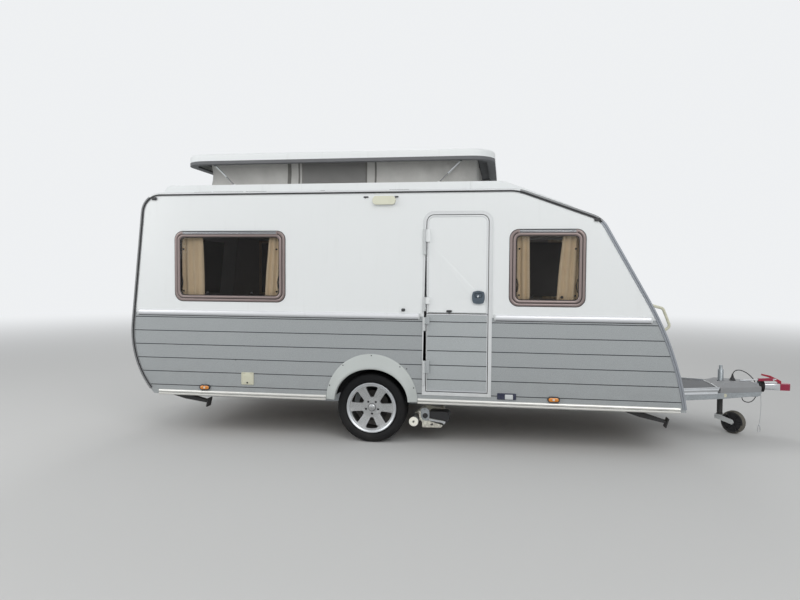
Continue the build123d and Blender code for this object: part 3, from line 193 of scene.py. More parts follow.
def wear(nodes, source, coords):
    """Edges rubbed to another colour, broken up by noise."""
    sharp = nodes.ramp(nodes.add("ShaderNodeNewGeometry").outputs["Pointiness"], 0.515, 0.57)
    broken = nodes.ramp(nodes.noise(coords, 60.0, 4.0), 0.35, 0.62)
    mask = nodes.times(nodes.times(sharp, broken), source["Amount"])
    return {"Color": nodes.mix(mask, source["Color"], source["Bare"])}


def spangle(nodes, source, coords):
    """Crystals of zinc on galvanised steel."""
    crystal = nodes.cells(coords, source["Scale"])[1]
    cloud = nodes.noise(coords, 12.0, 4.0)
    both = nodes.plus(nodes.times(crystal, 0.45), nodes.times(cloud, 0.55))
    colour, swing = nodes.swung(source, both, 0.5)
    return {"Color": colour, "Roughness": nodes.plus(source["Roughness"], nodes.times(swing, 0.5))}


def weave(nodes, source, coords):
    """Threads over and under each other, along X or Y and up."""
    split = nodes.split(coords)
    rate = nodes.times(source["Threads"], 2 * pi)
    warp = nodes.math("SINE", nodes.times(nodes.plus(split["X"], split["Y"]), rate))
    height = nodes.times(warp, nodes.math("SINE", nodes.times(split["Z"], rate)))
    cloud = nodes.noise(coords, 6.0, 5.0, 0.6)
    # The colour follows the threads' height as painted shade between raised threads, with a noise tone
    shade = nodes.plus(nodes.times(height, 0.10), nodes.times(cloud, 0.5))
    return {"Color": nodes.swung(source, shade, 0.25)[0], "Height": height}


WHITE = (1.0, 1.0, 1.0, 1.0)
ROUGH = 0.5


def effect(build, **inputs):
    """A shader node group with named inputs and outputs, built once."""
    tree = bpy.data.node_groups.new(build.__name__, "ShaderNodeTree")

    def socket(label, way, value):
        kind = "NodeSocketColor" if isinstance(value, tuple) or label == "Color" else "NodeSocketFloat"
        new = tree.interface.new_socket(label, in_out=way, socket_type=kind)
        if way == "INPUT":
            new.default_value = value
    for label, value in inputs.items():
        socket(label, "INPUT", value)
    nodes = Nodes(tree)
    results = build(nodes, nodes.add("NodeGroupInput").outputs, nodes.coords())
    for label in results:
        socket(label, "OUTPUT", None)
    target = nodes.add("NodeGroupOutput")
    for label, value in results.items():
        nodes.feed(target.inputs[label], value)
    return tree


# In the order in which a finish takes them; a finish gives the values after Color and Roughness
EFFECTS = {tree.name: tree for tree in (
    effect(spangle, Color=WHITE, Roughness=ROUGH, Scale=90.0, Amount=0.3),
    effect(mottle, Color=WHITE, Scale=4.0, Amount=0.1),
    effect(wear, Color=WHITE, Bare=(0.5, 0.5, 0.5, 1.0), Amount=0.6),
    effect(flakes, Color=WHITE, Roughness=ROUGH, Scale=900.0, Amount=0.3),
    effect(dirt, Color=WHITE, Roughness=ROUGH, Amount=0.3, Reach=0.7, Dust=(0.16, 0.14, 0.12, 1.0)),
    effect(streaks, Color=WHITE, Amount=0.2, Stain=(0.42, 0.42, 0.38, 1.0)),
    effect(weave, Color=WHITE, Threads=700.0, Amount=0.5),
    effect(grain, Scale=300.0),
)}
CONSTANTS = {
    "metal": "Metallic", "coat": "Coat Weight", "coat_rough": "Coat Roughness", "sheen": "Sheen Weight",
    "specular": "Specular IOR Level", "alpha": "Alpha", "ior": "IOR",
}
FINISHES = {}


def finish(name, colour, rough, bump=0.0, depth=0.5, paint=None, **values):
    """A material whose colour and roughness pass through the named effects; its bump's depth is in mm."""
    material = bpy.data.materials.new(name)
    material.use_nodes = True
    nodes = Nodes(material.node_tree)
    principled = material.node_tree.nodes["Principled BSDF"]
    flow = {"Color": (*colour, 1.0), "Roughness": rough}
    if paint:
        flow["Color"] = paint(nodes, flow["Color"])
    height = None
    for label in [label for label in EFFECTS if label in values]:
        node = nodes.add("ShaderNodeGroup", node_tree=EFFECTS[label])
        given = values[label] if isinstance(values[label], tuple) else (values[label],)
        own = [key for key in node.inputs.keys() if key not in flow]
        for key, value in zip(own, given):
            nodes.feed(node.inputs[key], (*value, 1.0) if isinstance(value, tuple) else value)
        for key in flow:
            if key in node.inputs:
                nodes.feed(node.inputs[key], flow[key])
            if key in node.outputs:
                flow[key] = node.outputs[key]
        if "Height" in node.outputs and label != "mottle":
            height = node.outputs["Height"]
    nodes.feed(principled.inputs["Base Color"], flow["Color"])
    nodes.feed(principled.inputs["Roughness"], flow["Roughness"])
    for label, key in CONSTANTS.items():
        if label in values:
            principled.inputs[key].default_value = values[label]
    if bump and height is not None:
        relief = {"Strength": bump, "Distance": depth / 1000, "Height": height}
        nodes.feed(principled.inputs["Normal"], nodes.add("ShaderNodeBump", relief).outputs[0])
    FINISHES[name] = material


# Colour of the painted shade on the floor of the planks' grooves
GROOVE_SHADE_COLOUR = (0.035, 0.04, 0.045, 1.0)
GROOVE_DEPTH = 0.003
NET_THREADS = 330


def groove_painted_shade(depth):
    """Painted shade on the floor of the planks' grooves, a little deeper in the wall than depth."""
    def paint(nodes, colour):
        out = nodes.math("ABSOLUTE", nodes.split(nodes.coords())["Y"])
        below = nodes.math("LESS_THAN", out, WALL - depth)
        above = nodes.math("GREATER_THAN", out, WALL - depth - GROOVE_DEPTH)
        return nodes.mix(nodes.times(below, above), colour, GROOVE_SHADE_COLOUR)
    return paint


def rail_painted_shade(nodes, colour):
    """A rail's colour with painted shade on its lower half, greyer below its crown."""
    height = nodes.split(nodes.coords())["Z"]
    return nodes.mix(nodes.ramp(height, 1.0360, 1.0560), (0.50, 0.515, 0.535, 1.0), colour)


def wood_paint(nodes, colour):
    """Long wavy grain lines along the boards."""
    lines = nodes.noise(nodes.stretched(nodes.coords(), (1.2, 7.0, 9.0)), 6.0, 6.0, 0.6)
    return nodes.mix(nodes.ramp(lines, 0.38, 0.62), colour, (0.20, 0.115, 0.055, 1.0))


def net_holes_painted_shade(nodes, colour):
    """Fine netting of the skirt's window, its holes painted dark as the shade of the inside seen through them."""
    split = nodes.split(nodes.coords())
    axes = (nodes.plus(split["X"], split["Y"]), split["Z"])
    ribs = [nodes.math("SINE", nodes.times(axis, 2 * pi * NET_THREADS)) for axis in axes]
    holes = nodes.math("GREATER_THAN", nodes.times(ribs[0], ribs[1]), 0.12)
    return nodes.mix(holes, colour, (0.035, 0.036, 0.036, 1.0))


# Name, colour, roughness, bump, its depth in mm; then effects, and constants of the shader
finish("white_sheet", (0.79, 0.81, 0.81), 0.34, 0.06, 0.4, mottle=(1.6, 0.035), streaks=0.07, grain=420,
       coat=0.25, coat_rough=0.12)
finish("grey_sheet", (0.345, 0.365, 0.372), 0.42, 0.05, 0.3, paint=groove_painted_shade(0.0012), metal=0.25, coat=0.15,
       mottle=(2.2, 0.07), flakes=(1500, 0.34), dirt=(0.22, 0.85), streaks=0.1, grain=500)
finish("grey_panel", (0.73, 0.75, 0.75), 0.30, 0.05, 0.4, mottle=(1.4, 0.05), dirt=(0.25, 0.9), grain=160,
       coat=0.3, coat_rough=0.1)
finish("white_plastic", (0.81, 0.83, 0.83), 0.52, 0.08, 0.6, mottle=(2, 0.04), streaks=0.22, grain=90, coat=0.05,
       coat_rough=0.3, specular=0.3)
finish("trim", (0.42, 0.44, 0.45), 0.38, 0.10, 0.2, metal=0.7, mottle=(5, 0.1), dirt=(0.22, 0.8), grain=900)
finish("arch", (0.49, 0.52, 0.505), 0.38, 0.12, 0.3, mottle=(3, 0.06), dirt=(0.3, 0.75), grain=520)
finish("window_frame", (0.255, 0.205, 0.195), 0.33, 0.08, 0.2, metal=0.55, mottle=(6, 0.12), flakes=(1900, 0.28),
       grain=700)
finish("smoked", (0.018, 0.016, 0.016), 0.05, alpha=0.19, ior=1.4, mottle=(3, 0.2))
finish("floor", (0.24, 0.19, 0.14), 0.55, 0.12, 0.3, paint=wood_paint, mottle=(5, 0.15), grain=300)
finish("wood", (0.40, 0.27, 0.16), 0.42, 0.10, 0.3, paint=wood_paint, mottle=(3, 0.12), grain=260)
finish("cushion", (0.25, 0.28, 0.34), 0.9, 0.5, 0.4, sheen=0.3, mottle=(14, 0.3), weave=(480, 0.9))
finish("curtain", (0.84, 0.66, 0.44), 0.85, 0.4, 0.3, sheen=0.25, mottle=(9, 0.15), weave=(900, 0.6))
finish("tent_fabric", (0.46, 0.455, 0.435), 0.80, 0.5, 0.4, sheen=0.15, mottle=(5, 0.28), weave=(620, 0.7))
finish("tent_net", (0.30, 0.295, 0.285), 0.85, 0.4, 0.4, paint=net_holes_painted_shade, mottle=(6, 0.2), grain=700)
finish("galvanised", (0.40, 0.43, 0.45), 0.45, 0.15, 0.3, metal=0.75, spangle=(85, 0.4), dirt=(0.35, 0.6),
       grain=260)
finish("strut", (0.52, 0.54, 0.55), 0.32, 0.05, 0.2, metal=0.8, mottle=(20, 0.12), grain=800)
finish("rod", (0.30, 0.30, 0.31), 0.16, metal=1.0, mottle=(30, 0.1))
finish("steel", (0.52, 0.53, 0.54), 0.34, 0.08, 0.2, metal=0.9, mottle=(40, 0.22), grain=900)
finish("alloy", (0.50, 0.51, 0.515), 0.24, 0.05, 0.2, metal=0.85, coat=0.4, coat_rough=0.08, mottle=(8, 0.08),
       flakes=(2200, 0.16), dirt=(0.3, 0.7), grain=700)
finish("tyre", (0.0075, 0.0078, 0.0085), 0.62, 0.30, 0.4, specular=0.22, mottle=(9, 0.35), dirt=(0.07, 0.5),
       grain=380)
finish("rubber", (0.016, 0.016, 0.017), 0.62, 0.25, 0.3, mottle=(18, 0.3), dirt=(0.15, 0.7), grain=500)
finish("black", (0.02, 0.02, 0.022), 0.50, 0.2, 0.2, mottle=(14, 0.25), grain=600)
finish("cover_plastic", (0.285, 0.292, 0.300), 0.55, 0.25, 0.4, mottle=(7, 0.16), dirt=(0.3, 0.9), grain=240)
finish("deck", (0.105, 0.110, 0.118), 0.60, 0.25, 0.4, mottle=(6, 0.25), dirt=(0.3, 0.9), grain=200)
finish("cream", (0.62, 0.61, 0.48), 0.42, 0.12, 0.3, mottle=(7, 0.08), dirt=(0.2, 0.8), grain=420)
finish("cream_paint", (0.76, 0.75, 0.65), 0.45, 0.15, 0.3, mottle=(12, 0.16), wear=((0.22, 0.2, 0.18), 0.7),
       dirt=(0.25, 0.45), grain=420)
finish("lamp", (0.72, 0.25, 0.02), 0.18, coat=0.6, specular=0.6, mottle=(30, 0.25))
finish("red", (0.36, 0.012, 0.035), 0.34, 0.1, 0.2, coat=0.2, mottle=(16, 0.2), grain=500)
finish("corner_grey", (0.235, 0.240, 0.245), 0.45, 0.08, 0.2, metal=0.3, mottle=(6, 0.14), dirt=(0.15, 0.8),
       grain=800)
finish("nose_grey", (0.305, 0.325, 0.355), 0.40, 0.08, 0.2, metal=0.35, mottle=(6, 0.14), dirt=(0.15, 0.8),
       grain=800)
# A darker copy of the alloy: painted shade on the spokes' sides and in the groove round the cap
finish("spoke_side", (0.17, 0.172, 0.175), 0.35, 0.08, 0.2, metal=0.7, mottle=(12, 0.2), grain=700)
# A lighter copy of the cream: painted light on the rollers' ends, which lie in the body's shade
finish("roller_cream", (0.90, 0.885, 0.78), 0.5, 0.12, 0.3, mottle=(14, 0.12), grain=420)
finish("door_grey", (0.400, 0.425, 0.432), 0.40, 0.05, 0.3, paint=groove_painted_shade(-0.0008), metal=0.25, coat=0.15,
       mottle=(2.2, 0.07), flakes=(1500, 0.34), dirt=(0.18, 0.85), streaks=0.1, grain=500)
finish("frame_white", (0.66, 0.675, 0.68), 0.36, 0.06, 0.2, metal=0.15, coat=0.2, mottle=(4, 0.07),
       dirt=(0.25, 0.9), grain=700)
finish("rail_white", (0.76, 0.77, 0.79), 0.27, 0.04, 0.2, paint=rail_painted_shade, metal=0.2, coat=0.4, mottle=(3, 0.06),
       streaks=0.2, grain=700)
finish("sill_metal", (0.74, 0.735, 0.70), 0.30, 0.06, 0.2, metal=0.55, mottle=(6, 0.1), dirt=(0.22, 0.6), grain=900)
finish("hinge_cover", (0.56, 0.58, 0.58), 0.45, 0.1, 0.2, mottle=(9, 0.1), streaks=0.3, grain=600)
finish("grey_gasket", (0.33, 0.345, 0.345), 0.6, 0.2, 0.2, mottle=(14, 0.25), grain=500)
# Dark grey for the lid: painted shade on its underside and lower edge
finish("lid_lining", (0.135, 0.138, 0.145), 0.75, 0.3, 0.4, mottle=(9, 0.3), grain=240)
finish("inner_wall", (0.42, 0.38, 0.32), 0.7, 0.15, 0.3, mottle=(5, 0.12), grain=300)
finish("awning_lens", (0.70, 0.70, 0.56), 0.32, 0.2, 0.6, coat=0.3, mottle=(12, 0.12), streaks=0.3, grain=160)
finish("socket_blue", (0.022, 0.026, 0.055), 0.4, 0.15, 0.2, mottle=(20, 0.3), grain=500)
finish("crimson", (0.30, 0.008, 0.045), 0.30, 0.1, 0.2, coat=0.25, mottle=(16, 0.2), grain=500)
finish("lens_red", (0.50, 0.015, 0.012), 0.16, coat=0.6, mottle=(30, 0.25))
finish("lens_clear", (0.62, 0.62, 0.55), 0.15, coat=0.5, mottle=(30, 0.2))
finish("bright", (0.60, 0.62, 0.64), 0.27, 0.06, 0.2, metal=0.85, mottle=(12, 0.14), dirt=(0.18, 0.8), grain=900)
finish("lock_slate", (0.070, 0.095, 0.120), 0.38, 0.1, 0.2, mottle=(20, 0.2), grain=600)
finish("seam", (0.16, 0.155, 0.145), 0.9, 0.4, 0.3, mottle=(30, 0.3), weave=(700, 0.8))
# Dark metal for a rim's deep faces: painted shade
finish("drum", (0.075, 0.07, 0.065), 0.7, 0.25, 0.5, metal=0.4, mottle=(25, 0.5), grain=300)
finish("wheel_rubber", (0.115, 0.11, 0.092), 0.75, 0.25, 0.4, mottle=(20, 0.35), dirt=(0.5, 0.3), grain=420)
finish("dusty_dark", (0.045, 0.046, 0.048), 0.65, 0.2, 0.3, mottle=(12, 0.4), dirt=(0.35, 0.5), grain=300)

for node_name, node in frame["nodes"].items():
    for material_slot in node.material_slots:
        material_slot.material = FINISHES[slot_of[node_name]]


# ---------------------------------------------------------------- mesh helpers
def settle(obj, slot, replaced=(), body="caravan"):
    """Puts a finished piece on its body and hides the nodes it stands for; its slot is not used."""
    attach(obj, body)
    if replaced:
        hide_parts(*replaced)
    return obj


def link(name, data):
    obj = bpy.data.objects.new(name, data)
    bpy.context.scene.collection.objects.link(obj)
    return obj


def rounded_rect(width, height, corner, steps=7, centre=(0.0, 0.0)):
    """Points round a rectangle with round corners."""
    corner = max(min(corner, width / 2 - 1e-4, height / 2 - 1e-4), 1e-4)
    points = []
    for quarter, (sx, sy) in enumerate(((1, 1), (-1, 1), (-1, -1), (1, -1))):
        cx = sx * (width / 2 - corner) + centre[0]
        cy = sy * (height / 2 - corner) + centre[1]
        for step in range(steps + 1):
            turn = (quarter + step / steps) * pi / 2
            points.append((cx + corner * cos(turn), cy + corner * sin(turn)))
    return points


def along_path(points, k):
    """Direction of a path at one of its points."""
    return (points[min(k + 1, len(points) - 1)] - points[max(k - 1, 0)]).normalized()


def pad(low, edge, inset, top):
    """Steps of a plain panel: from low straight out to edge, then in to its top."""
    return ((0.0, low), (0.0, edge), (inset, top))


def around(x, y, half_x, half_y):
    """The rectangle about a point."""
    return (x - half_x, x + half_x, y - half_y, y + half_y)


class Form:
    """Collects the points and faces of one piece, each face with its finish."""

    def __init__(self, name):
        self.name = name
        self.points = []
        self.faces = []
        self.finishes = []
        self.face_finish = []

    def face(self, corners, finish_name):
        if finish_name not in self.finishes:
            self.finishes.append(finish_name)
        self.faces.append(tuple(corners))
        self.face_finish.append(self.finishes.index(finish_name))

    def loft(self, rings, finish_name, closed=True, caps=(True, True)):
        """A skin over rings with the same number of points."""
        start = len(self.points)
        count = len(rings[0])
        for ring in rings:
            self.points += [Vector(point) for point in ring]
        for row in range(len(rings) - 1):
            base = start + row * count
            for k in range(count if closed else count - 1):
                j = (k + 1) % count
                self.face((base + k, base + j, base + count + j, base + count + k), finish_name)
        if caps[0]:
            self.face(range(start + count - 1, start - 1, -1), finish_name)
        if caps[1]:
            end = start + (len(rings) - 1) * count
            self.face(range(end, end + count), finish_name)

    def lathe(self, section, centre, axis, finish_name, count=48):
        """Turns a section of (along, radius) about an axis through centre."""
        axis = Vector(axis).normalized()
        side = Vector((0, 0, 1) if abs(axis.z) < 0.9 else (1, 0, 0))
        side = (side - axis * side.dot(axis)).normalized()
        other = axis.cross(side)
        turns = [radians(360.0 * k / count) for k in range(count)]
        self.loft([
            [Vector(centre) + axis * along + (side * cos(turn) + other * sin(turn)) * radius for turn in turns]
            for along, radius in section
        ], finish_name, caps=(False, False))

    def panel(self, place, rect, corner, steps, finish_name, caps=(True, True), shrink=1.0):
        """A rounded panel built from steps of (inset, out) from its edge inwards."""
        left, right, bottom, top = rect
        rings = []
        for inset, out in steps:
            outline = rounded_rect(
                right - left - 2 * inset, top - bottom - 2 * inset, corner - inset * shrink,
                centre=((left + right) / 2, (bottom + top) / 2),
            )
            rings.append([place(u, v, out) for u, v in outline])
        self.loft(rings, finish_name, caps=caps)

    def tube(self, path, radius, finish_name, sides=12):
        """A round bar along a path; radius may be one value or one for each point."""
        path = [Vector(point) for point in path]
        radii = radius if isinstance(radius, tuple) else (radius,) * len(path)
        rings = []
        normal = None
        for k, point in enumerate(path):
            ahead = along_path(path, k)
            if normal is None:
                normal = ahead.orthogonal().normalized()
            normal = (normal - ahead * normal.dot(ahead)).normalized()
            other = ahead.cross(normal)
            rings.append([
                point + (normal * cos(2 * pi * j / sides) + other * sin(2 * pi * j / sides)) * radii[k]
                for j in range(sides)
            ])
        self.loft(rings, finish_name)

    def mesh(self, smooth=38):
        """The collected faces as a clean mesh, turned outwards."""
        data = bpy.data.meshes.new(self.name)
        data.from_pydata([tuple(p) for p in self.points], [], self.faces)
        for name in self.finishes:
            data.materials.append(FINISHES[name])
        data.polygons.foreach_set("material_index", self.face_finish)
        clean = bmesh.new()
        clean.from_mesh(data)
        bmesh.ops.remove_doubles(clean, verts=clean.verts, dist=1e-6)
        bmesh.ops.recalc_face_normals(clean, faces=clean.faces)
        clean.to_mesh(data)
        clean.free()
        data.shade_smooth()
        data.set_sharp_from_angle(angle=radians(smooth))
        return data

    def piece(self, slot, replaced=(), body="caravan", smooth=38):
        """Makes the object and puts it on its body."""
        return settle(link(self.name, self.mesh(smooth)), slot, replaced, body)


def thicken(obj):
    """Gives a sheet the thickness of its cloth, half to each side."""
    cloth = obj.modifiers.new("cloth", "SOLIDIFY")
    cloth.thickness = 0.0012
    cloth.offset = 0.0


def evaluated_mesh(obj):
    depsgraph = bpy.context.evaluated_depsgraph_get()
    return bpy.data.meshes.new_from_object(obj.evaluated_get(depsgraph), depsgraph=depsgraph)


def soften(node, width, segments=2, finish_name=None, parts=(), cuts=()):
    """A copy of a CAD node with rounded edges, which stands for it.

    parts holds (test, finish) pairs: a face whose centre and normal pass a test gets that
    finish. cuts holds (axis, place) planes that divide its faces first.
    """
    data = frame["nodes"][node].data.copy()
    data.name = node + "_finished"
    clean = bmesh.new()
    clean.from_mesh(data)
    bmesh.ops.remove_doubles(clean, verts=clean.verts, dist=2e-5)
    bmesh.ops.dissolve_limit(clean, angle_limit=radians(1.2), verts=clean.verts, edges=clean.edges)
    for axis, place in cuts:
        normal = Vector([float(k == axis) for k in range(3)])
        everything = clean.verts[:] + clean.edges[:] + clean.faces[:]
        bmesh.ops.bisect_plane(clean, geom=everything, plane_co=normal * place, plane_no=normal, dist=1e-5)
    clean.to_mesh(data)
    clean.free()
    obj = link(data.name, data)
    data.materials.clear()
    data.materials.append(FINISHES[finish_name or slot_of[node]])
    for number, (test, name) in enumerate(parts, 1):
        data.materials.append(FINISHES[name])
        for polygon in data.polygons:
            if test(polygon.center - Vector((AXLE, 0.0, 0.0)), polygon.normal):
                polygon.material_index = number
    data.shade_smooth()
    data.set_sharp_from_angle(angle=radians(30))
    bevel = obj.modifiers.new("rounded", "BEVEL")
    bevel.width = width
    bevel.segments = segments
    bevel.limit_method = "ANGLE"
    bevel.angle_limit = radians(30)
    bevel.harden_normals = True
    settle(obj, slot_of[node], (node,), body_of[node])


# ---------------------------------------------------------------- repeats by Geometry Nodes
def ring_tree():
    """A geometry tree that turns copies of its input about an axis and sets their finish."""
    tree = bpy.data.node_groups.new("copies_in_a_ring", "GeometryNodeTree")
    tree.is_modifier = True
    sockets = {"Geometry": "Geometry", "Count": "Int", "Centre": "Vector", "Axis": "Vector", "Finish": "Material"}
    for label, kind in sockets.items():
        tree.interface.new_socket(label, in_out="INPUT", socket_type="NodeSocket" + kind)
    tree.interface.new_socket("Geometry", in_out="OUTPUT", socket_type="NodeSocketGeometry")
    nodes = Nodes(tree)

    def step(kind, **inputs):
        inputs = {key.replace("_", " "): value for key, value in inputs.items()}
        return nodes.add(kind, inputs).outputs[0]
    source = nodes.add("NodeGroupInput").outputs
    centre, count = source["Centre"], source["Count"]
    back = nodes.add("ShaderNodeVectorMath", {0: centre, "Scale": -1.0}, operation="SCALE").outputs[0]
    local = step("GeometryNodeTransform", Geometry=source["Geometry"], Translation=back)
    spots = step("GeometryNodeMeshLine", Count=count, Start_Location=centre, Offset=(0.0, 0.0, 0.0))
    share = nodes.math("DIVIDE", step("GeometryNodeInputIndex"), count)
    turn = step("FunctionNodeAxisAngleToRotation", Axis=source["Axis"], Angle=nodes.times(share, 2 * pi))
    copies = step("GeometryNodeInstanceOnPoints", Points=spots, Instance=local, Rotation=turn)
    real = step("GeometryNodeRealizeInstances", Geometry=copies)
    dressed = step("GeometryNodeSetMaterial", Geometry=real, Material=source["Finish"])
    nodes.add("NodeGroupOutput", {0: dressed})
    return tree


RING = ring_tree()


def ringed(form, count, centre, finish_name, body, slot):
    """Repeats a small form round a wheel's axle, and keeps the result as a plain mesh."""
    seed = link(form.name + "_seed", form.mesh())
    modifier = seed.modifiers.new("repeat", "NODES")
    modifier.node_group = RING
    values = {"Count": count, "Centre": centre, "Axis": (0.0, 1.0, 0.0), "Finish": FINISHES[finish_name]}
    for item in RING.interface.items_tree:
        if item.in_out == "INPUT" and item.name in values:
            modifier[item.identifier] = values[item.name]
    data = evaluated_mesh(seed)
    bpy.data.objects.remove(seed)
    data.name = form.name
    settle(link(form.name, data), slot, (), body)


# ---------------------------------------------------------------- places on the body
def on_side(side):
    """Turns (along, up, out) into a point on a side wall."""
    return lambda along, up, out: Vector((AXLE + along, side * (WALL + out), up))


def on_slope(low, high):
    """Turns (across, up, out) into a point on the sloping nose or tail, from its middle."""
    middle = (low + high) / 2
    rise = (high - low).normalized()
    outward = Vector((rise.y, -rise.x)) * (1 if low.x > 0 else -1)

    def place(across, up, out):
        spot = middle + rise * up + outward * out
        return Vector((AXLE + spot.x, across, spot.y))
    return place


on_nose = on_slope(NOSE_LOW, BROW)
on_tail = on_slope(TAIL_LOW, TAIL_HIGH)


def arc_points(centre, start, end, radius, steps):
    """Points on the shorter arc between two points about a centre."""
    first = atan2(start.y - centre.y, start.x - centre.x)
    sweep = (atan2(end.y - centre.y, end.x - centre.x) - first + pi) % (2 * pi) - pi
    turns = [first + sweep * k / steps for k in range(steps + 1)]
    return [centre + Vector((cos(turn), sin(turn))) * radius for turn in turns]


def fillet_points(before, corner, after, radius):
    """The arc that rounds a corner between two straight runs."""
    one = (before - corner).normalized()
    two = (after - corner).normalized()
    half = acos(max(-1.0, min(1.0, one.dot(two)))) / 2
    reach = radius / tan(half)
    centre = corner + (one + two).normalized() * radius / sin(half)
    return arc_points(centre, corner + one * reach, corner + two * reach, radius, 10)


def tangent_points(start, ahead, end):
    """An arc that leaves start in a direction and arrives at end, without its start."""
    chord = end - start
    normal = Vector((-ahead.y, ahead.x))
    radius = chord.length_squared / (2 * chord.dot(normal))
    return arc_points(start + normal * radius, start, end, abs(radius), 12)[1:]


def body_outline():
    """Points up the tail, along the roof and down the nose, above the bottom of the walls."""
    tail = tangent_points(TAIL_LOW, (TAIL_LOW - TAIL_HIGH).normalized(), HEEL)
    nose = tangent_points(NOSE_LOW, (NOSE_LOW - BROW).normalized(), TOE)
    corners = [TAIL_LOW, TAIL_HIGH, ROOF_FRONT, BROW, NOSE_LOW]
    middle = [TAIL_LOW]
    for k, (corner, radius) in enumerate(CORNER_ROUNDS, 1):
        middle += fillet_points(corners[k - 1], corner, corners[k + 1], radius)
    route = tail[::-1] + middle + [NOSE_LOW] + nose
    return [point for point in route if point.y > WALL_BOTTOM]


OUTLINE = body_outline()


# ---------------------------------------------------------------- camera and cords
def camera():
    """The photograph's viewpoint."""
    turn, dip, roll = 0.1573, 0.0426, 0.0066
    ahead = Vector((-sin(turn) * cos(dip), cos(turn) * cos(dip), -sin(dip)))
    right = Vector((cos(turn), sin(turn), 0.0))
    up = right.cross(ahead)
    right, up = right * cos(roll) + up * sin(roll), up * cos(roll) - right * sin(roll)
    data = bpy.data.cameras.new("camera")
    data.sensor_width = 36.0
    data.lens = 29.7
    data.clip_end = 200.0
    obj = link("camera", data)
    turned = Matrix((right, up, -ahead)).transposed().to_4x4()
    obj.matrix_world = Matrix.Translation((AXLE + 1.0745, -6.276, 1.4105)) @ turned
    bpy.context.scene.camera = obj


def cord_curve(name, route, diameter, finish_name):
    """A round cord on one smooth line whose control points are the route."""
    data = bpy.data.curves.new(name, "CURVE")
    data.dimensions = "3D"
    data.bevel_depth = diameter / 2
    data.bevel_resolution = 4
    data.resolution_u = 10
    data.use_fill_caps = True
    spline = data.splines.new("NURBS")
    spline.points.add(len(route) - 1)
    for point, (x, y, z) in zip(spline.points, route):
        point.co = (AXLE + x, y, z, 1.0)
    spline.order_u = 3
    spline.use_endpoint_u = True
    data.materials.append(FINISHES[finish_name])
    return link(name, data)


# Forward, left and up along the lead from the plug to the gland under the housing
LEAD_ROUTE = (
    (3.100, 0.000, 0.488), (3.101, 0.000, 0.524), (3.126, 0.003, 0.550), (3.168, 0.009, 0.553),
    (3.218, 0.022, 0.532), (3.266, 0.042, 0.498), (3.308, 0.062, 0.452), (3.334, 0.080, 0.394),
    (3.340, 0.086, 0.332), (3.312, 0.072, 0.276), (3.264, 0.044, 0.256), (3.214, 0.018, 0.266),
    (3.184, 0.002, 0.292), (3.182, 0.000, 0.330),
)
LEAD_DIAMETER = 0.008
# From the eye of the housing's front plate down to the hook near the ground
BREAKAWAY_ROUTE = (
    (3.313, -0.080, 0.364), (3.314, -0.080, 0.320), (3.317, -0.080, 0.262), (3.316, -0.081, 0.200),
    (3.311, -0.082, 0.144), (3.304, -0.083, 0.088),
)
BREAKAWAY_DIAMETER = 0.004
PLUG_X, PLUG_TOP = LEAD_ROUTE[0][0], LEAD_ROUTE[0][2]


def plug():
    """The plug in the cover: ribbed body, flange and the tapered boot of the lead."""
    form = Form("plug_body")
    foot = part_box("plug")[0].z
    centre = (AXLE + PLUG_X, 0.0, 0.0)
    # Height over the cover or over the lead's start, radius
    over_cover = ((0.0, 0.0195), (0.0, 0.026), (0.006, 0.0268), (0.010, 0.0215), (0.014, 0.0205))
    over_start = (
        (-0.009, 0.0195), (-0.004, 0.0165), (-0.002, 0.0120), (0.006, 0.0110), (0.020, 0.0078),
        (0.030, 0.0056), (0.032, 0.0040),
    )
    section = [(foot, 0.001), (foot, 0.0195)]
    section += [(COVER_TOP + up, radius) for up, radius in over_cover]
    section += [(PLUG_TOP + up, radius) for up, radius in over_start]
    form.lathe(section, centre, (0, 0, 1), "black", 32)
    for ring in range(3):
        z = PLUG_TOP + 0.004 + 0.007 * ring
        radius = 0.0118 - 0.0016 * ring
        rib = [(z, radius - 0.002), (z + 0.001, radius), (z + 0.003, radius - 0.0003), (z + 0.004, radius - 0.003)]
        form.lathe(rib, centre, (0, 0, 1), "rubber", 24)
    return form.piece("black", ("plug",))


def gland():
    """Where the lead goes back into the overrun housing."""
    form = Form("lead_gland")
    x, y, z = LEAD_ROUTE[-1]
    section = [(z - 0.022, 0.0046), (z - 0.020, 0.0062), (z - 0.008, 0.0095), (z - 0.003, 0.0115), (z, 0.0115)]
    form.lathe(section, (AXLE + x, y, 0.0), (0, 0, 1), "black", 24)
    return form.piece("black")


def snap_hook():
    """A spring hook with a ferrule at the end of the breakaway cable."""
    form = Form("spring_hook")
    x, y, z = BREAKAWAY_ROUTE[-1]
    centre = Vector((AXLE + x, y, z - 0.040))
    ferrule = [(z - 0.014, 0.001), (z - 0.014, 0.0045), (z - 0.011, 0.0052), (z - 0.003, 0.0050), (z, 0.0034)]
    form.lathe(ferrule, (AXLE + x, y, 0.0), (0, 0, 1), "bright", 20)
    loop = []
    for k in range(33):
        turn = pi / 2 + 2 * pi * k / 32
        reach, shift = (0.0088, 0.0165) if sin(turn) > 0 else (0.0095, -0.0165)
        loop.append(centre + Vector((reach * cos(turn), 0.0, reach * sin(turn) + shift)))
    form.tube(loop, 0.0028, "bright", 10)
    gate = [centre + Vector((0.0088, 0.0, 0.010)), centre + Vector((0.0096, 0.0, -0.010))]
    form.tube(gate, 0.0035, "steel", 10)
    return form.piece("steel", ("snap_hook",))


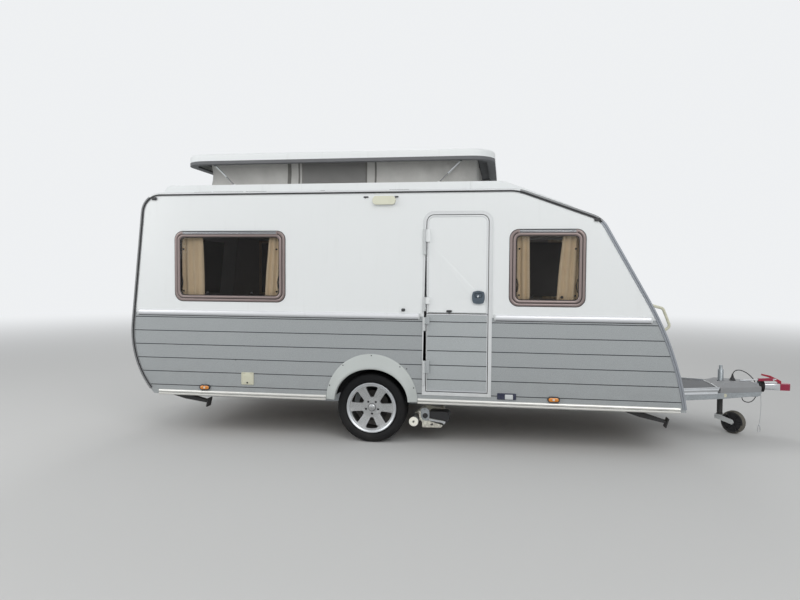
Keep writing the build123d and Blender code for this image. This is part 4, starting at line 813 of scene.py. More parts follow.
def cords():
    lead = settle(cord_curve("lead_cable", LEAD_ROUTE, LEAD_DIAMETER, "black"), "black", ("lead",))
    plug()
    gland()
    cable = cord_curve("breakaway_line", BREAKAWAY_ROUTE, BREAKAWAY_DIAMETER, "bright")
    settle(cable, "steel", ("breakaway_cable",))
    x, y, z = BREAKAWAY_ROUTE[0]
    snap_hook()


# ---------------------------------------------------------------- body trims
def trim_finish(point):
    """The finishes of a corner trim's bead and channel where it passes a point."""
    if point.x > BROW.x and point.y < BROW.y:
        return "nose_grey", "nose_grey"
    if point.x > ROOF_FRONT.x or point.y < TAIL_HIGH.y - 0.03:
        return "corner_grey", "rubber"
    return "frame_white", "rubber"


def edge_trims():
    """Corner trims swept round each side: a rounded bead, then a dark channel by the wall."""
    # Sections of the trim: how far in from the edge, how far out from the wall
    bead = (
        (-0.0005, -0.040), (-0.0014, -0.012), (-0.0010, 0.0005), (0.0010, 0.0050), (0.0045, 0.0080),
        (0.0090, 0.0088), (0.0125, 0.0080), (0.0145, 0.0055), (0.0150, 0.0015),
    )
    channel = ((0.0150, 0.0015), (0.0155, 0.0008), (0.0262, 0.0008), (0.0266, 0.0015))
    lip = ((0.0266, 0.0015), (0.0270, 0.0052), (0.0285, 0.0062), (0.0302, 0.0050), (0.0310, 0.0))
    back = ((0.0310, 0.0), (0.0310, -0.0005), (0.0060, -0.0010), (0.0055, -0.040), (-0.0005, -0.040))
    # Dashes of the roof's seam: rear end, front end
    dashes = ((-1.520, -1.365), (-1.350, -1.085), (-1.060, -0.884), (-0.425, -0.385), (0.150, 0.310))
    # Runs of the outline that share a finish
    runs = []
    for k, point in enumerate(OUTLINE):
        if not runs or trim_finish(point) != trim_finish(OUTLINE[runs[-1][0]]):
            runs.append([k, k])
        runs[-1][1] = min(k + 1, len(OUTLINE) - 1)
    for side_name, side in SIDES:
        form = Form(f"corner_trim_{side_name}")
        place = on_side(side)

        def ring(k, section):
            ahead = along_path(OUTLINE, k)
            spots = [(OUTLINE[k] - Vector((-ahead.y, ahead.x)) * inset, out) for inset, out in section]
            return [place(spot.x, spot.y, out) for spot, out in spots]
        for first, last in runs:
            bead_finish, channel_finish = trim_finish(OUTLINE[first])
            strips = ((bead, bead_finish), (channel, channel_finish), (lip, bead_finish), (back, "trim"))
            for section, name in strips:
                rings = [ring(k, section) for k in range(first, last + 1)]
                form.loft(rings, name, closed=False, caps=(False, False))
        whole = bead + channel[1:-1] + lip + back[1:-1]
        for k in (0, len(OUTLINE) - 1):
            form.loft([ring(k, whole)], "trim", caps=(True, False))
        form.piece("trim", ("edge_trims",) if side < 0 else ())
        seam = Form(f"roof_seam_{side_name}")
        for ends in dashes:
            seam.tube([place(x, TAIL_HIGH.y + 0.0004, 0.0010) for x in ends], 0.0016, "rubber", 8)
        seam.piece("black")


def extrusion(form, section, side, rear, front, finish_name):
    """A profile of (out, up) along a side wall, closed at both ends."""
    place = on_side(side)
    form.loft([[place(x, up, out) for out, up in section] for x in (rear, front)], finish_name)


def strip_section(low, high, thick):
    """A plain strip on the wall."""
    return ((-0.001, low), (thick, low), (thick, high), (-0.001, high))


def side_rails():
    """Half-round belt rails with end caps, and double-ribbed sill rails along each side."""
    middle, half = 1.0535, 0.0235
    belt = [(-0.001, middle - half)]
    belt += [(0.0015 + 0.0125 * cos(k * pi / 12), middle + half * sin(k * pi / 12)) for k in range(-6, 7)]
    belt += [(-0.001, middle + half)]
    cap = [(out + (0.0012 if out > 0 else 0.0), middle + (up - middle) * 1.06) for out, up in belt]
    # Steps of a cap: inwards from its end, scale
    cap_steps = ((0.0, 0.80), (0.001, 0.94), (0.003, 1.0), (0.011, 1.0), (0.0125, 0.985))
    under = strip_section(middle - half - 0.004, middle - half + 0.004, 0.003)
    low_rib = (
        (-0.001, 0.347), (0.006, 0.347), (0.010, 0.350), (0.0118, 0.356), (0.0105, 0.362), (0.006, 0.3655),
        (-0.001, 0.3655),
    )
    high_rib = (
        (-0.001, 0.3690), (0.008, 0.3695), (0.0118, 0.374), (0.0125, 0.380), (0.0100, 0.387), (0.005, 0.391),
        (-0.001, 0.391),
    )
    screw = [(-0.002, 0.0036), (0.0008, 0.0034), (0.0014, 0.0022), (0.0009, 0.0015), (0.0008, 0.0001)]
    form = Form("wall_rails")
    for side, rear, front in ((-1, -2.043, 0.405), (-1, 0.994, 2.190), (1, -2.043, 2.190)):
        extrusion(form, belt, side, rear, front, "rail_white")
        extrusion(form, under, side, rear + 0.004, front - 0.004, "rubber")
        place = on_side(side)
        for end, inward in ((rear, 1), (front, -1)):
            form.loft([
                [
                    place(end + inward * along, middle + (up - middle) * scale, out * scale if out > 0 else out)
                    for out, up in cap
                ]
                for along, scale in cap_steps
            ], "hinge_cover")
            form.lathe(screw, place(end + inward * 0.006, middle, 0.0142), (0, side, 0), "steel", 12)
    for _, side in SIDES:
        for rear, front in ((-1.850, -0.372), (0.392, 2.405)):
            extrusion(form, low_rib, side, rear, front, "sill_metal")
            extrusion(form, high_rib, side, rear, front, "sill_metal")
            # A dark strip between the sill's ribs: painted shade
            valley_painted_shade = strip_section(0.364, 0.371, 0.0028)
            extrusion(form, valley_painted_shade, side, rear + 0.001, front - 0.001, "grey_gasket")
    form.piece("trim", ("side_rails",))


# Steps of a side window's frame: inset from its edge, distance out of the wall; with the finish
WINDOW_STEPS = (
    ("window_frame", (
        (-0.001, -0.001), (0.000, 0.0045), (0.002, 0.0075), (0.006, 0.0094), (0.012, 0.0098),
        (0.017, 0.0090), (0.0205, 0.0066), (0.0215, 0.0030),
    )),
    ("black", ((0.0215, 0.0030), (0.0222, 0.0022), (0.0245, 0.0022), (0.0252, 0.0040))),
    ("window_frame", (
        (0.0252, 0.0040), (0.0260, 0.0105), (0.0285, 0.0138), (0.0330, 0.0150), (0.0385, 0.0148),
        (0.0440, 0.0128), (0.0475, 0.0095), (0.0485, 0.0060),
    )),
    ("rubber", ((-0.005, -0.001), (-0.0045, 0.0020), (-0.001, 0.0032), (0.001, 0.0010))),
    ("rubber", ((0.0470, 0.0050), (0.0480, 0.0088), (0.0505, 0.0092), (0.0530, 0.0062), (0.0515, 0.0030))),
    ("black", ((0.050, 0.0), (0.050, -0.028), (0.046, -0.034), (0.030, -0.036), (0.030, -0.029))),
)
# The outer and inner skins of its pane
WINDOW_SKINS = (
    (
        (0.0475, 0.0030), (0.0475, 0.0062), (0.052, 0.0078), (0.080, 0.0100), (0.130, 0.0118),
        (0.190, 0.0128), (0.240, 0.0132),
    ),
    ((0.0475, 0.0030), (0.130, 0.0080), (0.240, 0.0094)),
)
# Silver and black strips of its hinge rail, one above the other: from and to below the top, out, finish
RAIL_STRIPS = (
    (0.0005, 0.0050, 0.0112, "black"), (0.0050, 0.0105, 0.0128, "bright"), (0.0105, 0.0165, 0.0104, "black"),
    (0.0165, 0.0215, 0.0122, "bright"), (0.0215, 0.0250, 0.0100, "black"),
)


def side_window(side_name, side, number, rect):
    """A brown frame in two rounded steps, with its seals, hinge rail, stays and crowned pane."""
    rear, front, bottom, top = rect
    place = on_side(side)
    out = (0, side, 0)
    name = f"{side_name}_{number}"
    lead = side < 0 and number == 0
    form = Form(f"window_frame_{name}")
    for finish_name, steps in WINDOW_STEPS:
        form.panel(place, rect, WINDOW_CORNER, steps, finish_name, (False, False), 0.7)
    form.piece("window_frame", ("window_frames",) if lead else ())
    rail = Form(f"window_rail_{name}")
    ends = (rear + 0.068, front - 0.068)
    for low, high, thick, finish_name in RAIL_STRIPS:
        section = (
            (0.0, top - high), (thick - 0.0012, top - high), (thick, top - high + 0.0012),
            (thick, top - low - 0.0012), (thick - 0.0012, top - low), (0.0, top - low),
        )
        extrusion(rail, section, side, *ends, finish_name)
    for end in ends:
        block = (end - 0.006, end + 0.006, top - 0.027, top + 0.0005)
        rail.panel(place, block, 0.004, pad(0.0, 0.0125, 0.002, 0.0142), "window_frame")
    rail.piece("trim")
    pane = Form(f"window_pane_{name}")
    for steps in WINDOW_SKINS:
        pane.panel(place, rect, WINDOW_CORNER, steps, "smoked", (False, True), 0.7)
    pane.piece("smoked", ("window_panes",) if lead else ())
    stays = Form(f"window_stays_{name}")
    pivot = [(-0.004, 0.008), (0.006, 0.008), (0.008, 0.006), (0.008, 0.0001)]
    catch = [(-0.010, 0.011), (0.004, 0.011), (0.006, 0.008), (0.006, 0.0001)]
    # Foot, knee and tip of a stay: in from the window's end, up, out
    bends = ((0.058, 0.110, -0.004), (0.066, 0.165, -0.006), (0.056, 0.215, -0.006))
    for end, inward in ((rear, 1), (front, -1)):
        path = [place(end + inward * along, bottom + up, deep) for along, up, deep in bends]
        stays.tube(path, (0.0045, 0.0045, 0.0030), "black", 10)
        for height in (0.085, top - bottom - 0.150):
            stays.lathe(pivot, place(end + inward * 0.074, bottom + height, -0.004), out, "black", 14)
    for share in (0.30, 0.70):
        spot = place(rear + (front - rear) * share, bottom + 0.072, -0.004)
        stays.lathe(catch, spot, out, "black", 16)
    stays.piece("black")


def end_window(name, place, width, height, depth, shift):
    """A bowed pane on the nose or tail, with a dark printed border, sill rubber and hinge rail."""
    rect = around(0.0, shift, width / 2, height / 2)
    # Steps: inset, share of the pane's depth
    border = ((0.004, 0.28), (0.012, 0.46), (0.026, 0.62), (0.045, 0.73))
    crown = ((0.045, 0.73), (0.075, 0.82), (0.115, 0.89), (0.170, 0.95), (0.230, 0.99), (0.270, 1.0))
    bow = ((0.020, 0.42), (0.075, 0.70), (0.170, 0.84))

    def deep(steps):
        return tuple((inset, depth * share) for inset, share in steps)
    skins = (
        (0.075, ((0.0, -0.002), (-0.001, 0.004), *deep(border)), "black", (False, False)),
        (0.075, deep(crown), "smoked", (False, True)),
        (0.075, ((0.0, -0.002), *deep(bow), (0.270, depth - 0.006)), "smoked", (False, True)),
        (0.082, ((-0.010, -0.003), (-0.009, 0.003), (-0.003, 0.006), (0.0, 0.002)), "rubber", (False, False)),
    )
    form = Form(name)
    for corner, steps, finish_name, caps in skins:
        form.panel(place, rect, corner, steps, finish_name, caps, 0.6)
    rail = (rect[0] + 0.030, rect[1] - 0.030, rect[3] - 0.004, rect[3] + 0.022)
    form.panel(place, rail, 0.010, pad(0.0, 0.010, 0.003, 0.014), "trim")
    for across in (-width * 0.32, 0.0, width * 0.32):
        catch = (across - 0.030, across + 0.030, rect[2] + 0.030, rect[2] + 0.052)
        form.panel(place, catch, 0.008, pad(depth * 0.50, depth * 0.86, 0.003, depth * 0.95), "black")
    form.piece("smoked")


# Section of a wheel arch: how far out from the wall, radius
ARCH_SECTION = (
    (-0.002, 0.3790), (0.0035, 0.3785), (0.0060, 0.3760), (0.0085, 0.3700), (0.0120, 0.3600), (0.0165, 0.3480),
    (0.0215, 0.3360), (0.0265, 0.3260), (0.0305, 0.3175), (0.0320, 0.3110), (0.0310, 0.3060), (0.0270, 0.3030),
    (0.0200, 0.3022), (-0.0180, 0.3022), (-0.0180, 0.3060), (0.0180, 0.3075), (0.0220, 0.3180), (-0.002, 0.3680),
)
ARCH_OUTER, ARCH_INNER = 0.3790, 0.3022
# How far the inner edge hangs below a plain half ring at the top
ARCH_DROP = 0.047


def wheel_arches():
    """Crowned plastic arches, deepest over the wheel, with a rolled lip, feet and screws."""
    low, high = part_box("wheel_arches")
    head = [(0.004, 0.0001), (0.0110, 0.0050), (0.0128, 0.0034), (0.0130, 0.0001)]
    for side_name, side in SIDES:
        centre = Vector(((low.x + high.x) / 2, side * WALL, low.z))
        form = Form(f"wheel_arch_{side_name}")
        rings = []
        for k in range(73):
            turn = radians(-90 + 180 * k / 72)
            across = Vector((sin(turn), 0.0, cos(turn)))
            hang = ARCH_DROP * cos(turn) ** 1.5
            rings.append([
                centre + Vector((0, side * out, 0))
                + across * (radius - hang * (ARCH_OUTER - radius) / (ARCH_OUTER - ARCH_INNER))
                for out, radius in ARCH_SECTION
            ])
        form.loft(rings, "arch")
        form.piece("arch", ("wheel_arches",) if side < 0 else ())
        screws = Form(f"arch_screws_{side_name}")
        for turn in (-72.0, -40.0, 0.0, 40.0, 72.0):
            spot = centre + Matrix.Rotation(radians(turn), 3, (0, 1, 0)) @ Vector((0, 0, 0.3675))
            screws.lathe(head, spot, (0, side, 0), "black", 12)
        screws.piece("arch")


def leaf_edging(form, place):
    """A rounded strip up one side of the upper leaf, over its top and down the other side."""
    rear, front, low, high, corner = 0.458, 0.945, 1.0830, 1.8625, 0.057
    turns = [k * pi / 16 for k in range(9)]
    path = [(rear, low), (rear, high - corner)]
    path += [(rear + corner * (1 - cos(turn)), high - corner * (1 - sin(turn))) for turn in turns[1:]]
    path += [(front - corner * (1 - sin(turn)), high - corner * (1 - cos(turn))) for turn in turns]
    path = [Vector(spot) for spot in path + [(front, low)]]
    section = (
        (0.0005, 0.0015), (0.0010, 0.0040), (0.0040, 0.0054), (0.0100, 0.0050), (0.0155, 0.0036), (0.0165, 0.0018),
    )
    rings = []
    for k, spot in enumerate(path):
        ahead = along_path(path, k)
        inward = Vector((ahead.y, -ahead.x))
        rings.append([place(*(spot + inward * inset), out) for inset, out in section])
    form.loft(rings, "frame_white")


def door_details():
    """Leaf edging, pale strips along the lower leaf as painted highlights, key disc, catch, wall retainer, grey
    gasket of the hinge gap and grip lever.
    """
    place = on_side(-1)

    def pads(form, *rows):
        for rect, corner, steps, finish_name in rows:
            form.panel(place, rect, corner, steps, finish_name)

    def knob(form, section, along, up, finish_name, count):
        form.lathe(section, place(along, up, 0.0), (0, -1, 0), finish_name, count)
    edging = Form("door_upper_edging")
    leaf_edging(edging, place)
    disc = [(0.0190, 0.0078), (0.0205, 0.0076), (0.0212, 0.0062), (0.0206, 0.0050), (0.0206, 0.0001)]
    # Drip strip and grip lever, and the key disc with its slit
    pads(
        edging,
        ((0.462, 0.941, 1.0835, 1.0900), 0.002, pad(0.0010, 0.0040, 0.001, 0.0050), "grey_gasket"),
        ((0.846, 0.894, 1.2130, 1.2290), 0.006, pad(0.008, 0.0175, 0.003, 0.0205), "lock_slate"),
    )
    knob(edging, disc, 0.868, 1.221, "bright", 24)
    pads(edging, ((0.8674, 0.8686, 1.2175, 1.2245), 0.0005, ((0.0, 0.0204), (0.0, 0.0211)), "black"))
    edging.piece("trim", (), "door_upper")
    # Pale strips along the lower leaf's top, bottom and both ends: painted highlights on its edges
    lower = Form("door_lower_highlight_strips")
    edge = pad(0.0005, 0.0030, 0.001, 0.0042)
    pads(
        lower,
        ((0.4585, 0.9445, 1.0690, 1.0775), 0.003, pad(0.0005, 0.0045, 0.002, 0.0070), "rail_white"),
        ((0.4600, 0.9430, 0.4535, 0.4640), 0.003, pad(0.0005, 0.0035, 0.002, 0.0055), "rail_white"),
        ((0.4585, 0.4640, 0.4540, 1.0690), 0.002, edge, "frame_white"),
        ((0.9385, 0.9445, 0.4540, 1.0690), 0.002, edge, "frame_white"),
    )
    lower.piece("trim", (), "door_lower")
    gasket = Form("door_gap_gasket")
    pads(gasket, ((0.4400, 0.4574, 1.2230, 1.5560), 0.001, pad(-0.020, -0.0060, 0.001, -0.0050), "grey_gasket"))
    gasket.piece("rubber")
    catch = Form("door_catch")
    pads(catch, ((0.617, 0.661, 1.0920, 1.1080), 0.006, pad(0.002, 0.010, 0.003, 0.014), "black"))
    knob(catch, [(0.002, 0.007), (0.012, 0.007), (0.016, 0.005), (0.0165, 0.0001)], 0.639, 1.0905, "dusty_dark", 16)
    catch.piece("black", (), "door_upper")
    retainer = Form("door_retainer")
    pads(retainer, ((0.254, 0.284, 1.092, 1.116), 0.008, pad(-0.001, 0.006, 0.004, 0.010), "dusty_dark"))
    stud = [(0.006, 0.006), (0.022, 0.006), (0.026, 0.009), (0.030, 0.0085), (0.031, 0.0001)]
    knob(retainer, stud, 0.269, 1.104, "dusty_dark", 18)
    screw = [(-0.001, 0.0052), (0.0016, 0.0048), (0.0026, 0.0030), (0.0027, 0.0001)]
    for along, up in ((-1.158, 0.661), (0.300, 0.627)):
        knob(retainer, screw, along, up, "dusty_dark", 12)
    retainer.piece("black")


def lamps():
    """Awning light, amber markers with dark rims, and banded tail lamps."""
    tail_x, marker_z = -1.60, 0.420
    # Bands of a tail lamp: bottom, top, finish
    bands = (
        (0.0, 0.600, "lens_red"), (0.600, 0.690, "lens_clear"), (0.690, 0.770, "lamp"), (0.770, 1.0, "lens_red"),
    )

    def in_band(low, high):
        return lambda spot, normal: spot.x < tail_x and low < spot.z < high and abs(normal.x) > 0.45
    parts = [(lambda spot, normal: spot.x < tail_x, "black")]
    parts += [(in_band(low, high), name) for low, high, name in bands]
    parts += [
        (lambda spot, normal: spot.z > 1.5, "awning_lens"),
        (lambda spot, normal: spot.x > tail_x and spot.z < 1.0, "black"),
    ]
    soften("lamps", 0.0045, 3, None, parts, [(2, top) for low, top, name in bands[:-1]])
    for side_name, side in SIDES:
        place = on_side(side)
        form = Form(f"marker_lens_{side_name}")
        for along in (-1.431, 1.463):
            lens = ((0.0, 0.010), (0.0, 0.0165), (0.004, 0.0195), (0.010, 0.0208))
            form.panel(place, around(along, marker_z, 0.0385, 0.0150), 0.0148, lens, "lamp")
            for k in range(9):
                rib = around(along - 0.0260 + 0.0065 * k, marker_z, 0.0012, 0.0105)
                form.panel(place, rib, 0.001, pad(0.0190, 0.0213, 0.0006, 0.0218), "lamp")
            core = around(along, marker_z, 0.009, 0.008)
            form.panel(place, core, 0.003, ((0.0, 0.0190), (0.001, 0.0222)), "lens_clear")
        form.piece("lamp")
    awning = Form("awning_light_base")
    place = on_side(-1)
    rear, front = 0.014, 0.206
    base = ((0.0, -0.001), (0.0, 0.0070), (0.002, 0.0090), (0.004, 0.0092))
    awning.panel(place, (rear, front, 1.9460, 2.0200), 0.030, base, "frame_white")
    for share in (0.24, 0.76):
        bar = around(rear + (front - rear) * share, 1.983, 0.0015, 0.028)
        awning.panel(place, bar, 0.001, pad(0.020, 0.0306, 0.0008, 0.0312), "awning_lens")
    awning.piece("lamp")


def vent(form, place, rect, slats):
    """A louvred vent: raised frame, slanted slats and two catches."""
    rear, front, bottom, top = rect
    frame_steps = ((0.0, -0.001), (0.0, 0.007), (0.003, 0.010), (0.012, 0.0105), (0.016, 0.006), (0.018, 0.001))
    form.panel(place, rect, 0.016, frame_steps, "white_plastic")
    pitch = (top - bottom - 0.050) / slats
    for k in range(slats):
        z = bottom + 0.025 + pitch * k
        high = z + pitch * 0.80
        section = ((0.001, z), (0.0095, z + 0.001), (0.0100, z + 0.003), (0.003, high), (0.001, high))
        ends = (rear + 0.018, front - 0.018)
        form.loft([[place(x, up, out) for out, up in section] for x in ends], "white_plastic")
    for x in (rear + 0.050, front - 0.050):
        catch = (x - 0.010, x + 0.010, bottom + 0.006, bottom + 0.016)
        form.panel(place, catch, 0.004, pad(0.008, 0.0125, 0.002, 0.014), "black")


def service_covers():
    """Bevelled cover, mains socket unit, fridge vents and gas locker on the walls."""
    place = on_side(-1)
    cover = Form("service_cover")
    steps = (
        (0.0, -0.001), (0.0, 0.006), (0.002, 0.008), (0.009, 0.0095), (0.010, 0.0075), (0.012, 0.0075),
        (0.017, 0.0100), (0.030, 0.0105),
    )
    cover.panel(place, (-1.105, -0.997, 0.454, 0.558), 0.008, steps, "cream")
    lock = [(0.009, 0.007), (0.0125, 0.0068), (0.0132, 0.0050), (0.0125, 0.0001)]
    cover.lathe(lock, place(-1.051, 0.472, 0.0), (0, -1, 0), "black", 18)
    for x in (-1.084, -1.018):
        hinge = (x - 0.007, x + 0.007, 0.552, 0.559)
        cover.panel(place, hinge, 0.002, pad(0.004, 0.0115, 0.001, 0.0125), "cream")
    cover.piece("cream", ("service_covers",))
    unit = Form("mains_socket_unit")
    low, high = 0.406, 0.456
    socket = (*pad(0.008, 0.0110, 0.001, 0.0120), (0.004, 0.0108))
    flap = (*pad(0.008, 0.0110, 0.002, 0.0125), (0.012, 0.0130))
    for rear, front, up, down, corner, steps, name in (
        (1.026, 1.174, 0.0, 0.0, 0.007, pad(-0.001, 0.007, 0.002, 0.009), "socket_blue"),
        (1.032, 1.055, 0.006, 0.007, 0.003, socket, "socket_blue"),
        (1.059, 1.082, 0.006, 0.007, 0.003, socket, "socket_blue"),
        (1.087, 1.150, 0.003, 0.008, 0.005, flap, "hinge_cover"),
        (1.155, 1.169, 0.006, 0.007, 0.003, pad(0.008, 0.0110, 0.002, 0.0120), "socket_blue"),
    ):
        unit.panel(place, (rear, front, low + up, high - down), corner, steps, name)
    unit.piece("black")
    place = on_side(1)
    louvres = Form("fridge_vents")
    for middle in (1.290, 0.860):
        vent(louvres, place, (-0.365, 0.065, middle - 0.090, middle + 0.090), 9)
    louvres.piece("white_plastic")
    locker = Form("gas_locker_door")
    steps = (
        (0.0, -0.001), (0.0, 0.006), (0.003, 0.008), (0.014, 0.0082), (0.0150, 0.0030), (0.0180, 0.0030),
        (0.0190, 0.0066), (0.030, 0.0072),
    )
    locker.panel(place, (1.260, 1.640, 0.500, 0.860), 0.030, steps, "white_plastic")
    lock = [(0.006, 0.009), (0.0115, 0.0085), (0.013, 0.0060), (0.0125, 0.0001)]
    for x in (1.330, 1.570):
        hinge = (x - 0.020, x + 0.020, 0.832, 0.848)
        locker.panel(place, hinge, 0.006, pad(0.006, 0.0115, 0.002, 0.013), "black")
        locker.lathe(lock, place(x, 0.545, 0.0), (0, 1, 0), "bright", 20)
    locker.piece("white_plastic")


def side_windows():
    for side_name, side in SIDES:
        for number, rect in enumerate(SIDE_WINDOWS):
            side_window(side_name, side, number, rect)


def skirt():
    """Tent fabric between roof and lid, with folds, seams, a net window and gathered front."""
    low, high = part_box("skirt")
    half_x, half_y = (high.x - low.x) / 2, (high.y - low.y) / 2
    middle_x = (high.x + low.x) / 2
    corner, rows, step = 0.125, 14, 0.016
    hem, seam_half, gathered = 0.017, 0.009, 0.42
    coarse = rounded_rect(2 * half_x, 2 * half_y, corner, 8)
    dense = []
    for (u, v), (next_u, next_v) in zip(coarse, coarse[1:] + coarse[:1]):
        count = max(1, int(hypot(next_u - u, next_v - v) / step))
        dense += [(u + (next_u - u) * j / count, v + (next_v - v) * j / count) for j in range(count)]
    rings = []
    for row in range(rows + 1):
        share = row / rows
        z = low.z + (high.z - low.z) * share
        slack = sin(pi * share)
        ring = []
        for k, (u, v) in enumerate(dense):
            ahead = Vector(dense[(k + 1) % len(dense)]) - Vector(dense[k - 1])
            ahead.normalize()
            # Slanting folds, uneven slack, tight gathers at the front, and a sag inwards
            fold = 0.006 * sin(23.0 * (u * 1.1 + v * 0.7) + 2.2 * share) * slack
            fold += 0.012 * noise.noise(Vector((u, v, z * 0.8)) * 3.4) * slack
            if u > half_x - gathered:
                fold += 0.010 * sin(95.0 * v + 60.0 * u) * (0.25 + 0.75 * share) * slack
            fold -= 0.010 * slack
            spot = Vector((u, v)) + Vector((ahead.y, -ahead.x)) * fold
            ring.append((middle_x + spot.x, spot.y, z))
        rings.append(ring)
    form = Form("skirt_fabric")
    form.loft(rings, "tent_fabric", caps=(False, False))
    data = form.mesh(60)
    data.materials.append(FINISHES["tent_net"])
    data.materials.append(FINISHES["seam"])
    window = (AXLE - 0.680, AXLE - 0.111)
    seams = [AXLE + x for x in (-0.789, -0.698, -0.111, -0.033)]
    for polygon in data.polygons:
        centre = polygon.center
        if abs(centre.y) > half_y - 0.05:
            if window[0] < centre.x < window[1] and low.z + 0.02 < centre.z < high.z - 0.01:
                polygon.material_index = 1
            elif any(abs(centre.x - seam) < seam_half for seam in seams):
                polygon.material_index = 2
        if centre.z < low.z + hem or centre.z > high.z - hem:
            polygon.material_index = 2
    obj = link(form.name, data)
    thicken(obj)
    settle(obj, "tent_fabric", ("skirt",))
    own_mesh(obj)


def roof_fittings():
    """Small dark hooks under the roof's edge and clips on the corner trims."""
    hooks, clips = Form("roof_edge_hooks"), Form("trim_clips")
    for _, side in SIDES:
        place = on_side(side)
        for along in (-0.041, 0.204):
            plate = (along - 0.020, along + 0.020, 2.0060, 2.0180)
            hooks.panel(place, plate, 0.004, pad(-0.001, 0.003, 0.0015, 0.0045), "dusty_dark")
            bends = ((2.010, 0.004), (2.004, 0.014), (2.000, 0.016), (2.004, 0.021))
            hooks.tube([place(along, up, out) for up, out in bends], 0.0028, "dusty_dark", 8)
        for along, up in ((-1.878, 2.018), (1.768, 1.820)):
            steps = ((0.0, 0.006), (0.0, 0.011), (0.003, 0.0135), (0.007, 0.0145))
            clips.panel(place, around(along, up, 0.024, 0.013), 0.012, steps, "dusty_dark")
    hooks.piece("black")
    clips.piece("black")


def nose_strip():
    """Blue-grey sun strip beside the front window and its small dark end piece."""
    form = Form("front_window_strips")
    strip = (*pad(-0.001, 0.007, 0.004, 0.012), (0.009, 0.014))
    foot = pad(-0.001, 0.010, 0.003, 0.015)
    for _, side in SIDES:
        across = side * 0.765
        form.panel(on_nose, (across - 0.011, across + 0.011, -0.270, 0.285), 0.010, strip, "lock_slate")
        form.panel(on_nose, (across - 0.014, across + 0.014, -0.300, -0.268), 0.006, foot, "black")
    form.piece("trim")


def mover_details():
    """Dark bearing holes, bolts and roller discs in a lighter cream, painted light, on the outer faces of the
    mover's two ends.
    """
    hole = (
        (0.0, 0.0215), (0.0026, 0.0215), (0.0032, 0.0205), (0.0032, 0.0185), (0.0014, 0.0180), (0.0014, 0.0001),
    )
    bolt = ((0.0, 0.0085), (0.0075, 0.0085), (0.0090, 0.0070), (0.0090, 0.0001))
    disc = (
        (0.0, 0.0318), (0.0020, 0.0318), (0.0032, 0.0306), (0.0032, 0.0095), (0.0010, 0.0085), (0.0010, 0.0001),
    )
    form = Form("mover_bearings")
    for _, side in SIDES:
        for section, along, out, up, finish_name, count in (
            (hole, 0.440, 0.9035, 0.226, "black", 28), (bolt, 0.500, 0.9115, 0.159, "dusty_dark", 6),
            (bolt, 0.596, 0.9175, 0.172, "bright", 6), (disc, 0.350, 0.9550, 0.184, "roller_cream", 28),
        ):
            form.lathe(section, (AXLE + along, side * out, up), (0, side, 0), finish_name, count)
    form.piece("steel")


def drawbar_fittings():
    """Deck side extrusions, pale seam, cream discs, pleated bellows and jockey clamp handle."""
    form = Form("deck_side_extrusions")

    rails_meet, rail_spread, rail_run = 3.300, 0.515, 1.510

    def splay(along):
        """How far a drawbar rail has spread where it passes a place."""
        return (rails_meet - along) * rail_spread / rail_run

    def deck_edge(along):
        return 0.060 + splay(along) + 0.050
    # Section of the extrusion: out from the deck's edge, up
    section = (
        (-0.012, 0.3690), (0.0005, 0.3690), (0.0030, 0.3715), (0.0030, 0.3850), (0.0005, 0.3890), (0.0005, 0.3960),
        (0.0030, 0.4000), (0.0036, 0.4140), (0.0010, 0.4180), (0.0010, 0.4200), (0.0045, 0.4225), (0.0045, 0.4265),
        (0.0010, 0.4285), (-0.012, 0.4285),
    )
    disc = (
        (-0.020, 0.0170), (0.0030, 0.0170), (0.0050, 0.0150), (0.0050, 0.0060), (0.0062, 0.0050), (0.0062, 0.0001),
    )
    # Places along the extrusion, with the lean and the tuck of its front end
    stations = ((2.478, 0.0, 0.0), (2.600, 0.0, 0.0), (2.760, 0.0, 0.0), (2.905, 0.0, 0.0), (2.925, 0.35, 0.0024))
    for _, side in SIDES:
        form.loft([
            [
                Vector((AXLE + along - (0.428 - up) * lean, side * (deck_edge(along) + out - tuck), up))
                for out, up in section
            ]
            for along, lean, tuck in stations
        ], "bright")
        seam = []
        for along in (2.914, 2.926):
            edge = deck_edge(along) - 0.004
            corners = ((0.0, 0.4275), (edge, 0.4215), (edge, 0.4175), (0.0, 0.4175))
            seam.append([Vector((AXLE + along, side * across, up)) for across, up in corners])
        form.loft(seam, "frame_white")
        form.lathe(disc, (AXLE + 2.973, side * (0.105 + splay(2.973)), 0.357), (0, side, 0), "cream", 28)
    form.piece("trim")
    pleats = Form("bellows_pleats")
    low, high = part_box("bellows")
    reach = (high.z - low.z) / 2
    count = 4
    step = (high.x - low.x) / count
    section = [(low.x, 0.020)]
    for k in range(count):
        start = low.x + (high.x - low.x) * k / count
        pleat = ((0.04, 0.80), (0.30, 0.985), (0.50, 0.998), (0.70, 0.985), (0.96, 0.80))
        section += [(start + step * share, reach * size) for share, size in pleat]
    section = [(x - low.x, radius) for x, radius in section + [(high.x, 0.020)]]
    pleats.lathe(section, (low.x, 0.0, (low.z + high.z) / 2), (1, 0, 0), "rubber", 48)
    pleats.piece("rubber", ("bellows",))
    clamp = Form("jockey_clamp_handle")
    x = AXLE + 3.000
    clamp.tube([(x - 0.010, -0.030, 0.345), (x - 0.010, -0.052, 0.345)], 0.006, "steel", 12)
    bar = [(x - 0.046, -0.052, 0.338), (x - 0.010, -0.054, 0.345), (x + 0.028, -0.052, 0.352)]
    clamp.tube(bar, (0.0045, 0.006, 0.0045), "steel", 10)
    clamp.piece("galvanised")


